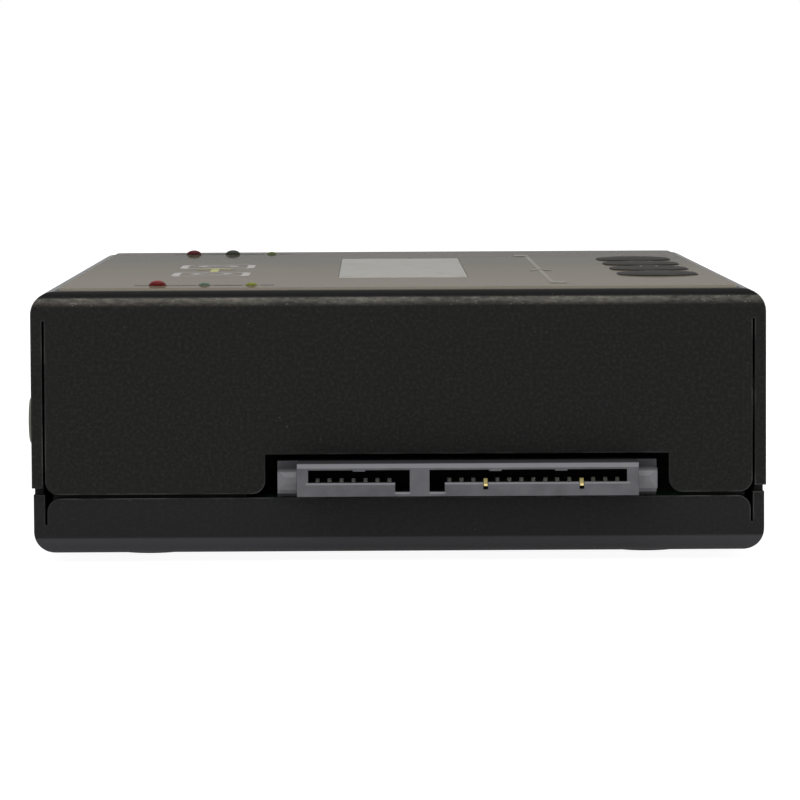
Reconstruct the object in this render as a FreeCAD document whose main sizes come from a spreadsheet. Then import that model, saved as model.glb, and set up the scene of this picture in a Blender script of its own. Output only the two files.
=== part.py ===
"""Portable drive duplicator: a folded steel case with a drive socket in each end wall.

Millimetres. +X is to the right of someone who faces the front socket, +Y runs from the front
socket to the rear one, and +Z is up. The origin is on the desk, under the middle of the case.
"""
import FreeCAD, Part
import math
import os
import re
import Sketcher

# ---------------------------------------------------------------- driving sizes

SIZES = {
    # Case: a cover and a shallow pan, each folded from one sheet of steel.
    "case_length": 120.0,
    "case_height": 27.9,
    "cover_width": 78.2,
    "pan_inset": 0.2,
    "wall": 1.2,
    "side_bend": 2.4,
    "end_bend": 1.5,
    "corner_gap": 0.25,
    "corner_relief": 3.1,
    "flap_round": 1.4,
    "pan_end_height": 5.9,
    "end_split": 0.4,
    "pan_side_height": 6.3,
    "side_split": 0.7,
    "notch_width": 43.0,
    "notch_height": 4.2,
    # Feet.
    "foot_height": 1.0,
    "foot_radius": 4.0,
    "foot_bevel": 0.4,
    "foot_inset_x": 12.1,
    "foot_inset_y": 14.0,
    # Panel film on the cover.
    "film_thickness": 0.25,
    "film_margin": 2.8,
    "film_round": 1.5,
    # Display: its window in the cover and the module below it.
    "display_centre_x": 0.75,
    "window_width": 14.7,
    "window_length": 62.0,
    "lens_rim": 1.0,
    "fit_gap": 0.1,
    "bezel_width": 24.2,
    "bezel_length": 71.2,
    "bezel_wall": 0.4,
    "bezel_gap": 0.3,
    "bezel_lip": 3.0,
    "glass_thickness": 2.2,
    "display_board_width": 36.0,
    "display_board_length": 80.0,
    "display_board_gap": 1.0,
    "display_hole_inset": 2.5,
    "display_pin_inset": 1.6,
    # Keys.
    "key_inset": 9.3,
    "key_pitch": 16.0,
    "key_width": 9.8,
    "key_length": 13.4,
    "key_proud": 0.55,
    "key_edge": 0.4,
    "key_travel": 0.35,
    "key_clearance": 0.3,
    "key_flange": 0.9,
    "key_flange_thickness": 0.8,
    "key_wall": 1.3,
    "key_roof": 1.2,
    "key_post_radius": 2.2,
    "key_switch_width": 6.0,
    "key_switch_body": 3.5,
    "key_switch_height": 6.0,
    "key_plunger_radius": 1.7,
    "key_plunger_slack": 0.25,
    "key_plunger_depth": 1.6,
    # Indicator lamps.
    "lamp_radius": 0.95,
    "lamp_pitch": 5.08,
    "lamp_inset_x": 18.17,
    "lamp_inset_y": 10.0,
    "lamp_proud": 0.35,
    "lamp_body": 4.3,
    "lamp_flange_radius": 1.35,
    "lamp_flange_height": 0.5,
    "lead_width": 0.45,
    "lead_spread": 0.635,
    "lead_tail": 1.2,
    # Boards and what holds them.
    "board_thickness": 1.6,
    "board_edge_gap": 0.7,
    "board_side_gap": 1.0,
    "spacer_height": 3.0,
    "stack_height": 11.0,
    "panel_board_left_margin": 8.1,
    "panel_board_right_margin": 3.7,
    "panel_board_end_margin": 8.4,
    "post_inset_x": 5.6,
    "post_inset_y": 5.0,
    "post_radius": 2.75,
    "spacer_radius": 2.5,
    "case_screw_radius": 1.25,
    "case_screw_head": 2.35,
    "case_screw_head_height": 1.0,
    "case_screw_length": 12.0,
    "screw_clearance": 0.15,
    "thread_clearance": 0.05,
    "panel_post_left_inset": 3.0,
    "panel_post_right_inset": 3.4,
    "panel_post_end_inset": 7.6,
    "panel_post_radius": 2.5,
    "small_screw_radius": 1.0,
    "small_screw_head": 1.9,
    "small_screw_head_height": 1.2,
    "panel_screw_length": 6.0,
    "nut_height": 1.6,
    "nut_radius": 2.3,
    "recess_radius": 0.75,
    "recess_depth": 0.6,
    # Drive sockets, seven signal and fifteen power contacts each.
    "socket_inset": 31.85,
    "socket_reach": 4.0,
    "socket_depth": 13.0,
    "socket_width": 36.1,
    "socket_height": 3.5,
    "socket_lift": 0.5,
    "socket_ear": 2.15,
    "ear_setback": 4.5,
    "post_setback": 1.4,
    "guide_post_width": 2.1,
    "guide_post_low": 0.55,
    "guide_post_height": 2.15,
    "guide_post_taper": 0.75,
    "slot_depth": 6.5,
    "slot_floor": 1.45,
    "slot_ceiling": 2.8,
    "leg_floor": 0.47,
    "signal_slot_left": -16.88,
    "signal_slot_right": -6.14,
    "signal_leg": 1.55,
    "power_slot_left": -4.06,
    "power_slot_right": 16.82,
    "power_leg": 1.62,
    "rib_width": 1.3,
    "rib_height": 0.15,
    "contact_pitch": 1.27,
    "first_signal_contact": -15.9,
    "first_power_contact": -1.93,
    "contact_width": 0.4,
    "contact_thickness": 0.2,
    "contact_crest": 0.36,
    "contact_tip": 1.0,
    "long_contact_tip": 0.15,
    "contact_tail": 0.4,
    "contact_foot": 0.8,
    "groove_clearance": 0.05,
    "groove_depth": 0.5,
    "front_notch_height": 0.75,
    "front_notch_depth": 1.2,
    # DC inlet in the left wall.
    "inlet_y": -6.0,
    "inlet_height": 12.3,
    "inlet_hole": 4.0,
    "inlet_body_length": 14.0,
    "inlet_body_width": 9.0,
    "inlet_body_height": 10.5,
    "inlet_wall_gap": 0.2,
    "inlet_barrel": 3.15,
    "inlet_barrel_depth": 9.5,
    "inlet_pin": 1.0,
    "inlet_pin_length": 8.5,
    "inlet_shoulder": 3.4,
    "blade_thickness": 0.4,
    "blade_width": 2.2,
    # Power button in the left wall.
    "button_y": -30.0,
    "button_height": 12.2,
    "button_radius": 2.7,
    "button_proud": 2.4,
    "button_bevel": 0.6,
    "button_travel": 1.5,
    "button_clearance": 0.3,
    "button_flange": 3.7,
    "button_flange_thickness": 0.8,
    "button_socket_depth": 2.4,
    "power_switch_gap": 0.6,
    "power_switch_length": 12.0,
    "power_switch_width": 8.5,
    "power_switch_height": 10.0,
    "plunger_radius": 1.4,
    "plunger_reach": 4.0,
    # Electronics on the main board.
    "controller_size": 14.0,
    "controller_height": 1.4,
    "memory_width": 10.2,
    "memory_length": 22.2,
    "memory_height": 1.0,
    "flash_width": 3.9,
    "flash_length": 4.9,
    "flash_height": 1.5,
    "chip_standoff": 0.1,
    "chip_lead": 1.0,
    "chip_lead_width": 0.3,
    "chip_lead_thickness": 0.15,
    "coil_size": 6.0,
    "coil_height": 3.0,
    "capacitor_radius": 3.15,
    "capacitor_height": 5.4,
    "capacitor_base": 6.6,
    "capacitor_base_height": 0.9,
    "crystal_length": 11.0,
    "crystal_width": 4.6,
    "crystal_height": 3.6,
    "buzzer_radius": 4.5,
    "buzzer_height": 5.0,
    "buzzer_vent": 0.9,
    "header_inset": 12.9,
    "header_pitch": 2.54,
    "header_pin_width": 0.64,
    "header_strip_height": 2.5,
    "header_reach": 6.0,
    "chip_part_length": 1.6,
    "chip_part_width": 0.8,
    "chip_part_height": 0.6,
    # Places on the main board: about its middle, or in from its side edges and its ends.
    "controller_x": -4.0,
    "memory_y": 26.0,
    "fine_lead_pitch": 1.27,
    "flash_inset": 16.9,
    "flash_y": 16.0,
    "coil_inset": 21.9,
    "coil_end_inset": 22.1,
    "coil_pitch": 10.0,
    "left_capacitor_inset": 20.9,
    "left_capacitor_y": -12.4,
    "right_capacitor_inset": 24.9,
    "capacitor_end_inset": 22.1,
    "crystal_x": 10.0,
    "crystal_y": -14.0,
    "buzzer_inset": 12.9,
    "buzzer_end_inset": 20.1,
    "chip_part_pitch": 3.0,
    "chip_part_gap": 2.6,
}

KEY_COUNT = 4
LAMPS_PER_ROW = 3
SIGNAL_CONTACTS = 7
POWER_CONTACTS = 15
LONG_POWER_CONTACTS = (4, 12)
HEADER_ROWS = 10
SIGNAL_RIB_COUNT = 1
POWER_RIB_COUNT = 2
CONTROLLER_LEAD_COUNT = 10
MEMORY_LEAD_COUNT = 16
FLASH_LEAD_COUNT = 4
CHIP_PART_STEPS = (-2, -1, 0, 1, 2)
DISPLAY_PINS = 16

# ---------------------------------------------------------------- heights and faces

PAN_UNDER = "foot_height"
PAN_FLOOR = "(foot_height + wall)"
BOARD_UNDER = f"({PAN_FLOOR} + spacer_height)"
BOARD_TOP = f"({BOARD_UNDER} + board_thickness)"
PANEL_UNDER = f"({BOARD_TOP} + stack_height)"
PANEL_TOP = f"({PANEL_UNDER} + board_thickness)"
COVER_TOP = "(foot_height + case_height)"
COVER_UNDER = f"({COVER_TOP} - wall)"
FILM_TOP = f"({COVER_TOP} + film_thickness)"
COVER_END_EDGE = "(foot_height + pan_end_height + end_split)"
COVER_SIDE_EDGE = "(foot_height + pan_side_height + side_split)"
END_FACE = "(case_length / 2)"
BOARD_END = f"({END_FACE} - wall - board_edge_gap)"
LEFT_FACE = "(-cover_width / 2)"
LEFT_INNER = f"({LEFT_FACE} + wall)"

# ---------------------------------------------------------------- places tied to the case

PAN_WIDTH = "(cover_width - 2 * pan_inset)"
FILM_WIDTH = "(cover_width - 2 * film_margin)"
FILM_LENGTH = "(case_length - 2 * film_margin)"
POST_X = "(cover_width / 2 - post_inset_x)"
POST_Y = "(case_length / 2 - post_inset_y)"
FOOT_X = "(cover_width / 2 - foot_inset_x)"
FOOT_Y = "(case_length / 2 - foot_inset_y)"
KEY_X = "(cover_width / 2 - key_inset)"
LAMP_X = "(lamp_inset_x - cover_width / 2)"
LAMP_Y = "(case_length / 2 - lamp_inset_y)"
SOCKET_X = "(cover_width / 2 - socket_inset)"
PANEL_LEFT = f"({LEFT_FACE} + panel_board_left_margin)"
PANEL_RIGHT = "(cover_width / 2 - panel_board_right_margin)"
PANEL_END = f"({END_FACE} - panel_board_end_margin)"
PANEL_POST_Y = f"({PANEL_END} - panel_post_end_inset)"
HEADER_X = f"({PANEL_RIGHT} - header_inset)"
BOARD_LEFT = f"({LEFT_INNER} + board_side_gap)"
BOARD_RIGHT = f"(-{BOARD_LEFT})"

# ---------------------------------------------------------------- document and helpers

doc = FreeCAD.newDocument("drive_duplicator")
sheet = doc.addObject("Spreadsheet::Sheet", "sizes")
for row, (alias, number) in enumerate(SIZES.items(), start=1):
    sheet.set(f"A{row}", alias)
    sheet.set(f"B{row}", str(number))
    sheet.setAlias(f"B{row}", alias)
doc.recompute()

pieces = []


def tied(text):
    """An expression with the sheet's name put before each of its aliases."""
    return re.sub(r"[a-z_]+", lambda word: f"sizes.{word[0]}" if word[0] in SIZES else word[0], str(text))


def value(text):
    """The number that an expression on the sheet gives now."""
    return float(sheet.evalExpression(tied(text)))


def bind(thing, prop, text):
    """Tie a property to an expression on the sheet."""
    thing.setExpression(prop, tied(text))


def keep(thing, label):
    """Make an object one of the sub-parts, under the name of its file."""
    thing.Label = label
    pieces.append(thing)
    return thing


def block(name, x, y, z):
    """A box between two planes on each axis."""
    box = doc.addObject("Part::Box", name)
    for prop, (low, high) in zip(("Length", "Width", "Height"), (x, y, z)):
        bind(box, prop, f"({high}) - ({low})")
    for axis, (low, high) in zip("xyz", (x, y, z)):
        bind(box, f"Placement.Base.{axis}", low)
    return box


def centred(middle, size):
    """The two planes of a size laid evenly about a middle."""
    return f"({middle}) - ({size}) / 2", f"({middle}) + ({size}) / 2"


def rod(name, along, centre, radius, start, end):
    """A cylinder along one axis, with its centre line given on the other two."""
    cylinder = doc.addObject("Part::Cylinder", name)
    bind(cylinder, "Radius", radius)
    bind(cylinder, "Height", f"({end}) - ({start})")
    turns = {
        "x": FreeCAD.Rotation(FreeCAD.Vector(0, 1, 0), 90),
        "y": FreeCAD.Rotation(FreeCAD.Vector(1, 0, 0), -90),
        "z": FreeCAD.Rotation(),
    }
    cylinder.Placement.Rotation = turns[along]
    places = list(centre)
    places.insert("xyz".index(along), start)
    for axis, place in zip("xyz", places):
        bind(cylinder, f"Placement.Base.{axis}", place)
    return cylinder


def hexagon(name, x, y, radius, low, high):
    """An upright hexagonal bar with two flats that face left and right."""
    prism = doc.addObject("Part::Prism", name)
    prism.Polygon = 6
    bind(prism, "Circumradius", radius)
    bind(prism, "Height", f"({high}) - ({low})")
    prism.Placement.Rotation = FreeCAD.Rotation(FreeCAD.Vector(0, 0, 1), 30)
    for axis, place in zip("xyz", (x, y, low)):
        bind(prism, f"Placement.Base.{axis}", place)
    return prism


def join(name, *parts):
    """One solid from parts that meet."""
    fuse = doc.addObject("Part::MultiFuse", name)
    fuse.Shapes = list(parts)
    fuse.Refine = True
    return fuse


def group(name, *parts):
    """Separate solids kept in one node."""
    compound = doc.addObject("Part::Compound", name)
    compound.Links = list(parts)
    return compound


def cut(name, base, *tools):
    """The base with every tool taken out of it."""
    difference = doc.addObject("Part::Cut", name)
    difference.Base = base
    difference.Tool = tools[0] if len(tools) == 1 else group(f"{name}_tools", *tools)
    return difference


class Worked:
    """A PartDesign body and the sketched steps that shape it."""

    def __init__(self, label):
        self.body = keep(doc.addObject("PartDesign::Body", label), label)
        self.label = label
        self.count = 0

    def new(self, kind, name):
        self.count += 1
        return self.body.newObject(kind, f"{self.label}_{self.count}_{name}")

    def sketch(self, role, height="0"):
        """A sketch on one of the body's own planes, moved along the plane's normal.

        The normals are +Z for XY_Plane, -Y for XZ_Plane and +X for YZ_Plane.
        """
        sketch = self.new("Sketcher::SketchObject", "sketch")
        plane = next(item for item in self.body.Origin.OriginFeatures if item.Role == role)
        sketch.AttachmentSupport = [(plane, "")]
        sketch.MapMode = "FlatFace"
        bind(sketch, "AttachmentOffset.Base.z", height)
        return sketch

    def pad(self, sketch, length):
        """Add material from the sketch along its normal."""
        pad = self.new("PartDesign::Pad", "pad")
        pad.Profile = sketch
        bind(pad, "Length", length)
        doc.recompute()
        return pad

    def pocket(self, sketch, length):
        """Take material away from the sketch against its normal."""
        before = self.body.Shape.Volume
        pocket = self.new("PartDesign::Pocket", "pocket")
        pocket.Profile = sketch
        bind(pocket, "Length", length)
        doc.recompute()
        if pocket.Shape.Volume >= before:
            raise RuntimeError(f"{pocket.Label} takes nothing away")
        return pocket

    def edges(self, test):
        """Names of the tip's edges whose middle passes a test."""
        shape = self.body.Tip.Shape
        return [f"Edge{i}" for i, edge in enumerate(shape.Edges, 1) if test(edge)]

    def round_edges(self, test, radius):
        """Fillet every edge that passes a test."""
        base = self.body.Tip
        names = self.edges(test)
        fillet = self.new("PartDesign::Fillet", "fillet")
        fillet.Base = (base, names)
        bind(fillet, "Radius", radius)
        doc.recompute()
        return fillet

    def bevel_edges(self, test, size):
        """Chamfer every edge that passes a test."""
        base = self.body.Tip
        names = self.edges(test)
        chamfer = self.new("PartDesign::Chamfer", "chamfer")
        chamfer.Base = (base, names)
        bind(chamfer, "Size", size)
        doc.recompute()
        return chamfer

    def hollow(self, face_test, wall):
        """Leave a wall of even thickness, open at the faces that pass a test."""
        base = self.body.Tip
        faces = [f"Face{i}" for i, face in enumerate(base.Shape.Faces, 1) if face_test(face)]
        shell = self.new("PartDesign::Thickness", "shell")
        shell.Base = (base, faces)
        shell.Reversed = True
        bind(shell, "Value", wall)
        doc.recompute()
        return shell

    def repeat(self, feature, sketch, count, pitch):
        """A row of one feature along its sketch's horizontal axis."""
        pattern = self.new("PartDesign::LinearPattern", "row")
        pattern.Originals = [feature]
        pattern.Direction = (sketch, ["H_Axis"])
        bind(pattern, "Length", f"{count - 1} * ({pitch})")
        pattern.Occurrences = count
        self.body.Tip = pattern
        doc.recompute()
        return pattern


def fix_point(sketch, curve, end, x, y):
    """Tie one point of a curve to its place in the sketch."""
    for kind, place in (("DistanceX", x), ("DistanceY", y)):
        index = sketch.addConstraint(Sketcher.Constraint(kind, -1, 1, curve, end, value(place)))
        bind(sketch, f"Constraints[{index}]", place)


def outline(sketch, *points):
    """A closed outline of straight lines through points given as expressions."""
    spots = [FreeCAD.Vector(value(x), value(y), 0) for x, y in points]
    following = spots[1:] + spots[:1]
    lines = [sketch.addGeometry(Part.LineSegment(a, b), False) for a, b in zip(spots, following)]
    for line, after in zip(lines, lines[1:] + lines[:1]):
        sketch.addConstraint(Sketcher.Constraint("Coincident", line, 2, after, 1))
    for line, (x, y) in zip(lines, points):
        fix_point(sketch, line, 1, x, y)
    return sketch


def rectangle(sketch, x, y):
    """A rectangle between two lines each way."""
    return outline(sketch, (x[0], y[0]), (x[1], y[0]), (x[1], y[1]), (x[0], y[1]))


def circle(sketch, x, y, radius):
    """A circle about a point."""
    curve = sketch.addGeometry(
        Part.Circle(FreeCAD.Vector(value(x), value(y), 0), FreeCAD.Vector(0, 0, 1), value(radius)), False
    )
    fix_point(sketch, curve, 3, x, y)
    index = sketch.addConstraint(Sketcher.Constraint("Radius", curve, value(radius)))
    bind(sketch, f"Constraints[{index}]", radius)
    return sketch


def oval(sketch, x, y, width, length):
    """Two half circles joined by straight sides, longer along the sketch's vertical."""
    radius = f"(({width}) / 2)"
    far = f"({y}) + ({length}) / 2 - {radius}"
    near = f"({y}) - ({length}) / 2 + {radius}"
    middle = value(x)
    size = value(radius)
    normal = FreeCAD.Vector(0, 0, 1)
    half = math.pi
    far_circle = Part.Circle(FreeCAD.Vector(middle, value(far), 0), normal, size)
    near_circle = Part.Circle(FreeCAD.Vector(middle, value(near), 0), normal, size)
    far_arc = sketch.addGeometry(Part.ArcOfCircle(far_circle, 0, half), False)
    left = sketch.addGeometry(
        Part.LineSegment(
            FreeCAD.Vector(middle - size, value(far), 0), FreeCAD.Vector(middle - size, value(near), 0)
        ),
        False,
    )
    near_arc = sketch.addGeometry(Part.ArcOfCircle(near_circle, half, 2 * half), False)
    right = sketch.addGeometry(
        Part.LineSegment(
            FreeCAD.Vector(middle + size, value(near), 0), FreeCAD.Vector(middle + size, value(far), 0)
        ),
        False,
    )
    for first, second in ((far_arc, left), (left, near_arc), (near_arc, right), (right, far_arc)):
        sketch.addConstraint(Sketcher.Constraint("Tangent", first, 2, second, 1))
    fix_point(sketch, far_arc, 3, x, far)
    fix_point(sketch, near_arc, 3, x, near)
    for arc in (far_arc, near_arc):
        index = sketch.addConstraint(Sketcher.Constraint("Radius", arc, size))
        bind(sketch, f"Constraints[{index}]", radius)
    return sketch


def near(first, second):
    """Two lengths that are the same but for rounding."""
    return abs(first - second) < 1e-4


def level(text):
    """A test for edges or faces whose middle lies at a height."""
    height = value(text)
    return lambda item: near(item.CenterOfMass.z, height)


def key_y(number):
    """Centre of a key, counted from the front."""
    return f"({number} - {(KEY_COUNT - 1) / 2}) * key_pitch"


def lamp_x(number):
    """Centre of a lamp, counted from the left."""
    return f"{LAMP_X} + ({number} - {(LAMPS_PER_ROW - 1) / 2}) * lamp_pitch"


def corners(spread_x, spread_y):
    """The four corners of a rectangle about the origin."""
    return [(f"{side} * {spread_x}", f"{end} * {spread_y}") for side in (-1, 1) for end in (-1, 1)]


# ---------------------------------------------------------------- case


def bent_outline(sketch, half, open_level, fold_level, radius):
    """The outside of a folded tray seen along one axis: square where it is open, round at the bends."""
    across, opened, folded, bend = (value(text) for text in (half, open_level, fold_level, radius))
    up = folded > opened
    turn = folded - bend if up else folded + bend
    normal = FreeCAD.Vector(0, 0, 1)

    def line(x1, y1, x2, y2):
        segment = Part.LineSegment(FreeCAD.Vector(x1, y1, 0), FreeCAD.Vector(x2, y2, 0))
        return sketch.addGeometry(segment, False)

    def arc(x, first_quarter):
        ring = Part.Circle(FreeCAD.Vector(x, turn, 0), normal, bend)
        start = first_quarter * math.pi / 2
        return sketch.addGeometry(Part.ArcOfCircle(ring, start, start + math.pi / 2), False)

    left = line(-across, opened, -across, turn)
    left_bend = arc(bend - across, 1 if up else 2)
    top = line(bend - across, folded, across - bend, folded)
    right_bend = arc(across - bend, 0 if up else 3)
    right = line(across, turn, across, opened)
    bottom = line(across, opened, -across, opened)
    before, after = (2, 1) if up else (1, 2)
    for constraint in (
        ("Tangent", left, 2, left_bend, before), ("Tangent", left_bend, after, top, 1),
        ("Tangent", top, 2, right_bend, before), ("Tangent", right_bend, after, right, 1),
        ("Coincident", right, 2, bottom, 1), ("Coincident", bottom, 2, left, 1),
        ("Vertical", left), ("Vertical", right), ("Horizontal", top),
    ):
        sketch.addConstraint(Sketcher.Constraint(*constraint))
    fix_point(sketch, bottom, 1, half, open_level)
    fix_point(sketch, bottom, 2, f"-({half})", open_level)
    index = sketch.addConstraint(Sketcher.Constraint("DistanceY", -1, 1, top, 1, folded))
    bind(sketch, f"Constraints[{index}]", fold_level)
    for curve in (left_bend, right_bend):
        index = sketch.addConstraint(Sketcher.Constraint("Radius", curve, bend))
        bind(sketch, f"Constraints[{index}]", radius)
    return sketch


def fold_shell(tray, width, fold_level, open_level):
    """A five-sided box of sheet, bent along four edges and open on one side."""
    sides = bent_outline(
        tray.sketch("XZ_Plane", f"-{END_FACE}"), f"({width}) / 2", open_level, fold_level, "side_bend"
    )
    tray.pad(sides, "case_length")
    ends = bent_outline(
        tray.sketch("YZ_Plane", f"({width}) / 2 + wall"), END_FACE, open_level, fold_level, "end_bend"
    )
    rectangle(ends, centred("0", "case_length + 4 * wall"), centred(fold_level, "3 * case_height"))
    tray.pocket(ends, f"({width}) + 2 * wall")
    tray.hollow(level(open_level), "wall")


def open_corners(tray, width, low, high):
    """Part the end flaps from the side flaps by a narrow gap at each corner."""
    sketch = tray.sketch("XY_Plane", high)
    for side in (-1, 1):
        outer = f"{side} * (({width}) / 2 - wall)"
        inner = f"{side} * (({width}) / 2 - wall - corner_gap)"
        rectangle(sketch, (inner, outer), centred("0", "case_length + wall"))
    tray.pocket(sketch, f"({high}) - ({low})")


def round_flaps(tray, edge_level):
    """Round the free corners of the end flaps in the plane of the sheet."""
    height = value(edge_level)
    wall = value("wall")
    tray.round_edges(
        lambda edge: near(edge.Length, wall)
        and near(edge.BoundBox.YLength, wall)
        and near(edge.CenterOfMass.z, height),
        "flap_round",
    )


def make_cover():
    """Top cover: a roof and four flaps, with every opening that the panel needs."""
    cover = Worked("top_cover")
    fold_shell(cover, "cover_width", COVER_TOP, COVER_END_EDGE)

    side_edges = cover.sketch("XY_Plane", COVER_SIDE_EDGE)
    for side in (-1, 1):
        outer = f"{side} * (cover_width / 2 + wall)"
        inner = f"{side} * (cover_width / 2 - wall - corner_gap / 2)"
        rectangle(side_edges, (inner, outer), centred("0", "case_length + wall"))
    cover.pocket(side_edges, f"{COVER_SIDE_EDGE} - {COVER_END_EDGE} + wall")

    open_corners(cover, "cover_width", f"{COVER_END_EDGE} - wall", f"{COVER_TOP} - corner_relief")

    notches = cover.sketch("XZ_Plane", f"{END_FACE} + wall")
    rectangle(
        notches,
        centred(SOCKET_X, "notch_width"),
        (f"{COVER_END_EDGE} - wall", f"{COVER_END_EDGE} + notch_height"),
    )
    cover.pocket(notches, "case_length + 2 * wall")
    round_flaps(cover, COVER_END_EDGE)

    panel = cover.sketch("XY_Plane", f"{COVER_TOP} + wall")
    rectangle(
        panel,
        centred("display_centre_x", "window_width + 2 * lens_rim"),
        centred("0", "window_length + 2 * lens_rim"),
    )
    for number in range(KEY_COUNT):
        oval(
            panel, KEY_X, key_y(number),
            "key_width + 2 * key_clearance", "key_length + 2 * key_clearance",
        )
    for end in (-1, 1):
        for number in range(LAMPS_PER_ROW):
            circle(panel, lamp_x(number), f"{end} * {LAMP_Y}", "lamp_radius + fit_gap")
    cover.pocket(panel, "3 * wall")

    wall_holes = cover.sketch("YZ_Plane", f"{LEFT_INNER} + wall")
    circle(wall_holes, "button_y", f"{PAN_UNDER} + button_height", "button_radius + button_clearance")
    circle(wall_holes, "inlet_y", f"{PAN_UNDER} + inlet_height", "inlet_hole")
    cover.pocket(wall_holes, "3 * wall")


def make_pan():
    """Bottom pan: a floor and four low flaps, with a countersunk hole at each corner."""
    pan = Worked("bottom_pan")
    top = "(foot_height + pan_side_height)"
    fold_shell(pan, PAN_WIDTH, PAN_UNDER, top)

    ends = rectangle(
        pan.sketch("XY_Plane", f"{top} + wall"),
        centred("0", f"{PAN_WIDTH} - 2 * wall - corner_gap"),
        centred("0", "case_length + wall"),
    )
    pan.pocket(ends, "pan_side_height - pan_end_height + wall")
    open_corners(pan, PAN_WIDTH, "foot_height + corner_relief", f"{top} + wall")
    round_flaps(pan, "foot_height + pan_end_height")

    holes = pan.sketch("XY_Plane", f"{PAN_FLOOR}")
    for x, y in corners(POST_X, POST_Y):
        circle(holes, x, y, "case_screw_radius + screw_clearance")
    pan.pocket(holes, "2 * wall")
    under = value(PAN_UNDER)
    rim = math.tau * value("case_screw_radius + screw_clearance")
    pan.bevel_edges(
        lambda edge: near(edge.CenterOfMass.z, under) and near(edge.Length, rim),
        "case_screw_head - case_screw_radius",
    )


def make_foot(number, x, y):
    """One round stick-on foot, wider at the top than at the floor."""
    foot = doc.addObject("Part::Cylinder", f"foot_{number}")
    bind(foot, "Radius", "foot_radius")
    bind(foot, "Height", "foot_height")
    bind(foot, "Placement.Base.x", x)
    bind(foot, "Placement.Base.y", y)
    doc.recompute()
    lower = min(range(1, 4), key=lambda i: foot.Shape.Edges[i - 1].CenterOfMass.z)
    beveled = doc.addObject("Part::Chamfer", f"foot_{number}_beveled")
    beveled.Base = foot
    beveled.Edges = [(lower, value("foot_bevel"), value("foot_bevel"))]
    return beveled


make_cover()
make_pan()
keep(
    group(
        "rubber_feet",
        *[make_foot(i, x, y) for i, (x, y) in enumerate(corners(FOOT_X, FOOT_Y))],
    ),
    "rubber_feet",
)

# ---------------------------------------------------------------- panel film and display


def make_film():
    """Panel film: thin, rounded at its corners, and open over window, keys and lamps."""
    film = Worked("panel_film")
    sketch = rectangle(
        film.sketch("XY_Plane", COVER_TOP), centred("0", FILM_WIDTH), centred("0", FILM_LENGTH)
    )
    film.pad(sketch, "film_thickness")
    thickness = value("film_thickness")
    film.round_edges(lambda edge: near(edge.BoundBox.ZLength, thickness), "film_round")
    holes = film.sketch("XY_Plane", f"{FILM_TOP} + film_thickness")
    rectangle(holes, centred("display_centre_x", "window_width"), centred("0", "window_length"))
    for number in range(KEY_COUNT):
        oval(
            holes, KEY_X, key_y(number),
            "key_width + 2 * key_clearance", "key_length + 2 * key_clearance",
        )
    for end in (-1, 1):
        for number in range(LAMPS_PER_ROW):
            circle(holes, lamp_x(number), f"{end} * {LAMP_Y}", "lamp_radius + fit_gap")
    film.pocket(holes, "3 * film_thickness")


DISPLAY_UNDER = f"({PANEL_TOP} + display_board_gap)"
DISPLAY_TOP = f"({DISPLAY_UNDER} + board_thickness)"
BEZEL_TOP = f"({COVER_UNDER} - bezel_gap)"
GLASS_TOP = f"({BEZEL_TOP} - bezel_wall)"
GLASS_UNDER = f"({GLASS_TOP} - glass_thickness)"


def display_corners():
    """Screw places of the display board."""
    across = "(display_board_width / 2 - display_hole_inset)"
    along = "(display_board_length / 2 - display_hole_inset)"
    return [
        (f"display_centre_x + {side} * {across}", f"{end} * {along}") for side in (-1, 1) for end in (-1, 1)
    ]


def make_bezel():
    """Display bezel: a folded metal frame, open below, with a window above."""
    bezel = Worked("display_bezel")
    sketch = rectangle(
        bezel.sketch("XY_Plane", DISPLAY_TOP),
        centred("display_centre_x", "bezel_width"),
        centred("0", "bezel_length"),
    )
    bezel.pad(sketch, f"{BEZEL_TOP} - {DISPLAY_TOP}")
    top = value(BEZEL_TOP)
    bezel.round_edges(lambda edge: near(edge.CenterOfMass.z, top), "bezel_wall")
    bezel.hollow(level(DISPLAY_TOP), "bezel_wall / 2")
    window = rectangle(
        bezel.sketch("XY_Plane", f"{BEZEL_TOP} + bezel_wall"),
        centred("display_centre_x", "bezel_width - 2 * bezel_lip"),
        centred("0", "bezel_length - 2 * bezel_lip"),
    )
    bezel.pocket(window, "3 * bezel_wall")


make_film()
keep(
    block(
        "display_window",
        centred("display_centre_x", "window_width + 2 * lens_rim - 2 * fit_gap"),
        centred("0", "window_length + 2 * lens_rim - 2 * fit_gap"),
        (COVER_UNDER, COVER_TOP),
    ),
    "display_window",
)
make_bezel()
for label, low, high in (
    ("display_glass", GLASS_UNDER, f"{BEZEL_TOP} - bezel_wall / 2"),
    ("display_light_guide", DISPLAY_TOP, GLASS_UNDER),
):
    keep(
        block(
            label,
            centred("display_centre_x", "bezel_width - 2 * bezel_wall"),
            centred("0", "bezel_length - 2 * bezel_wall"),
            (low, high),
        ),
        label,
    )


def display_pin(number):
    """Centre of a display pin along the board's left edge."""
    across = "display_centre_x - display_board_width / 2 + display_pin_inset"
    return across, f"({number} - {(DISPLAY_PINS - 1) / 2}) * header_pitch"


def pin(name, x, y, width, low, high):
    """A square pin."""
    return block(name, centred(x, width), centred(y, width), (low, high))


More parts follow.
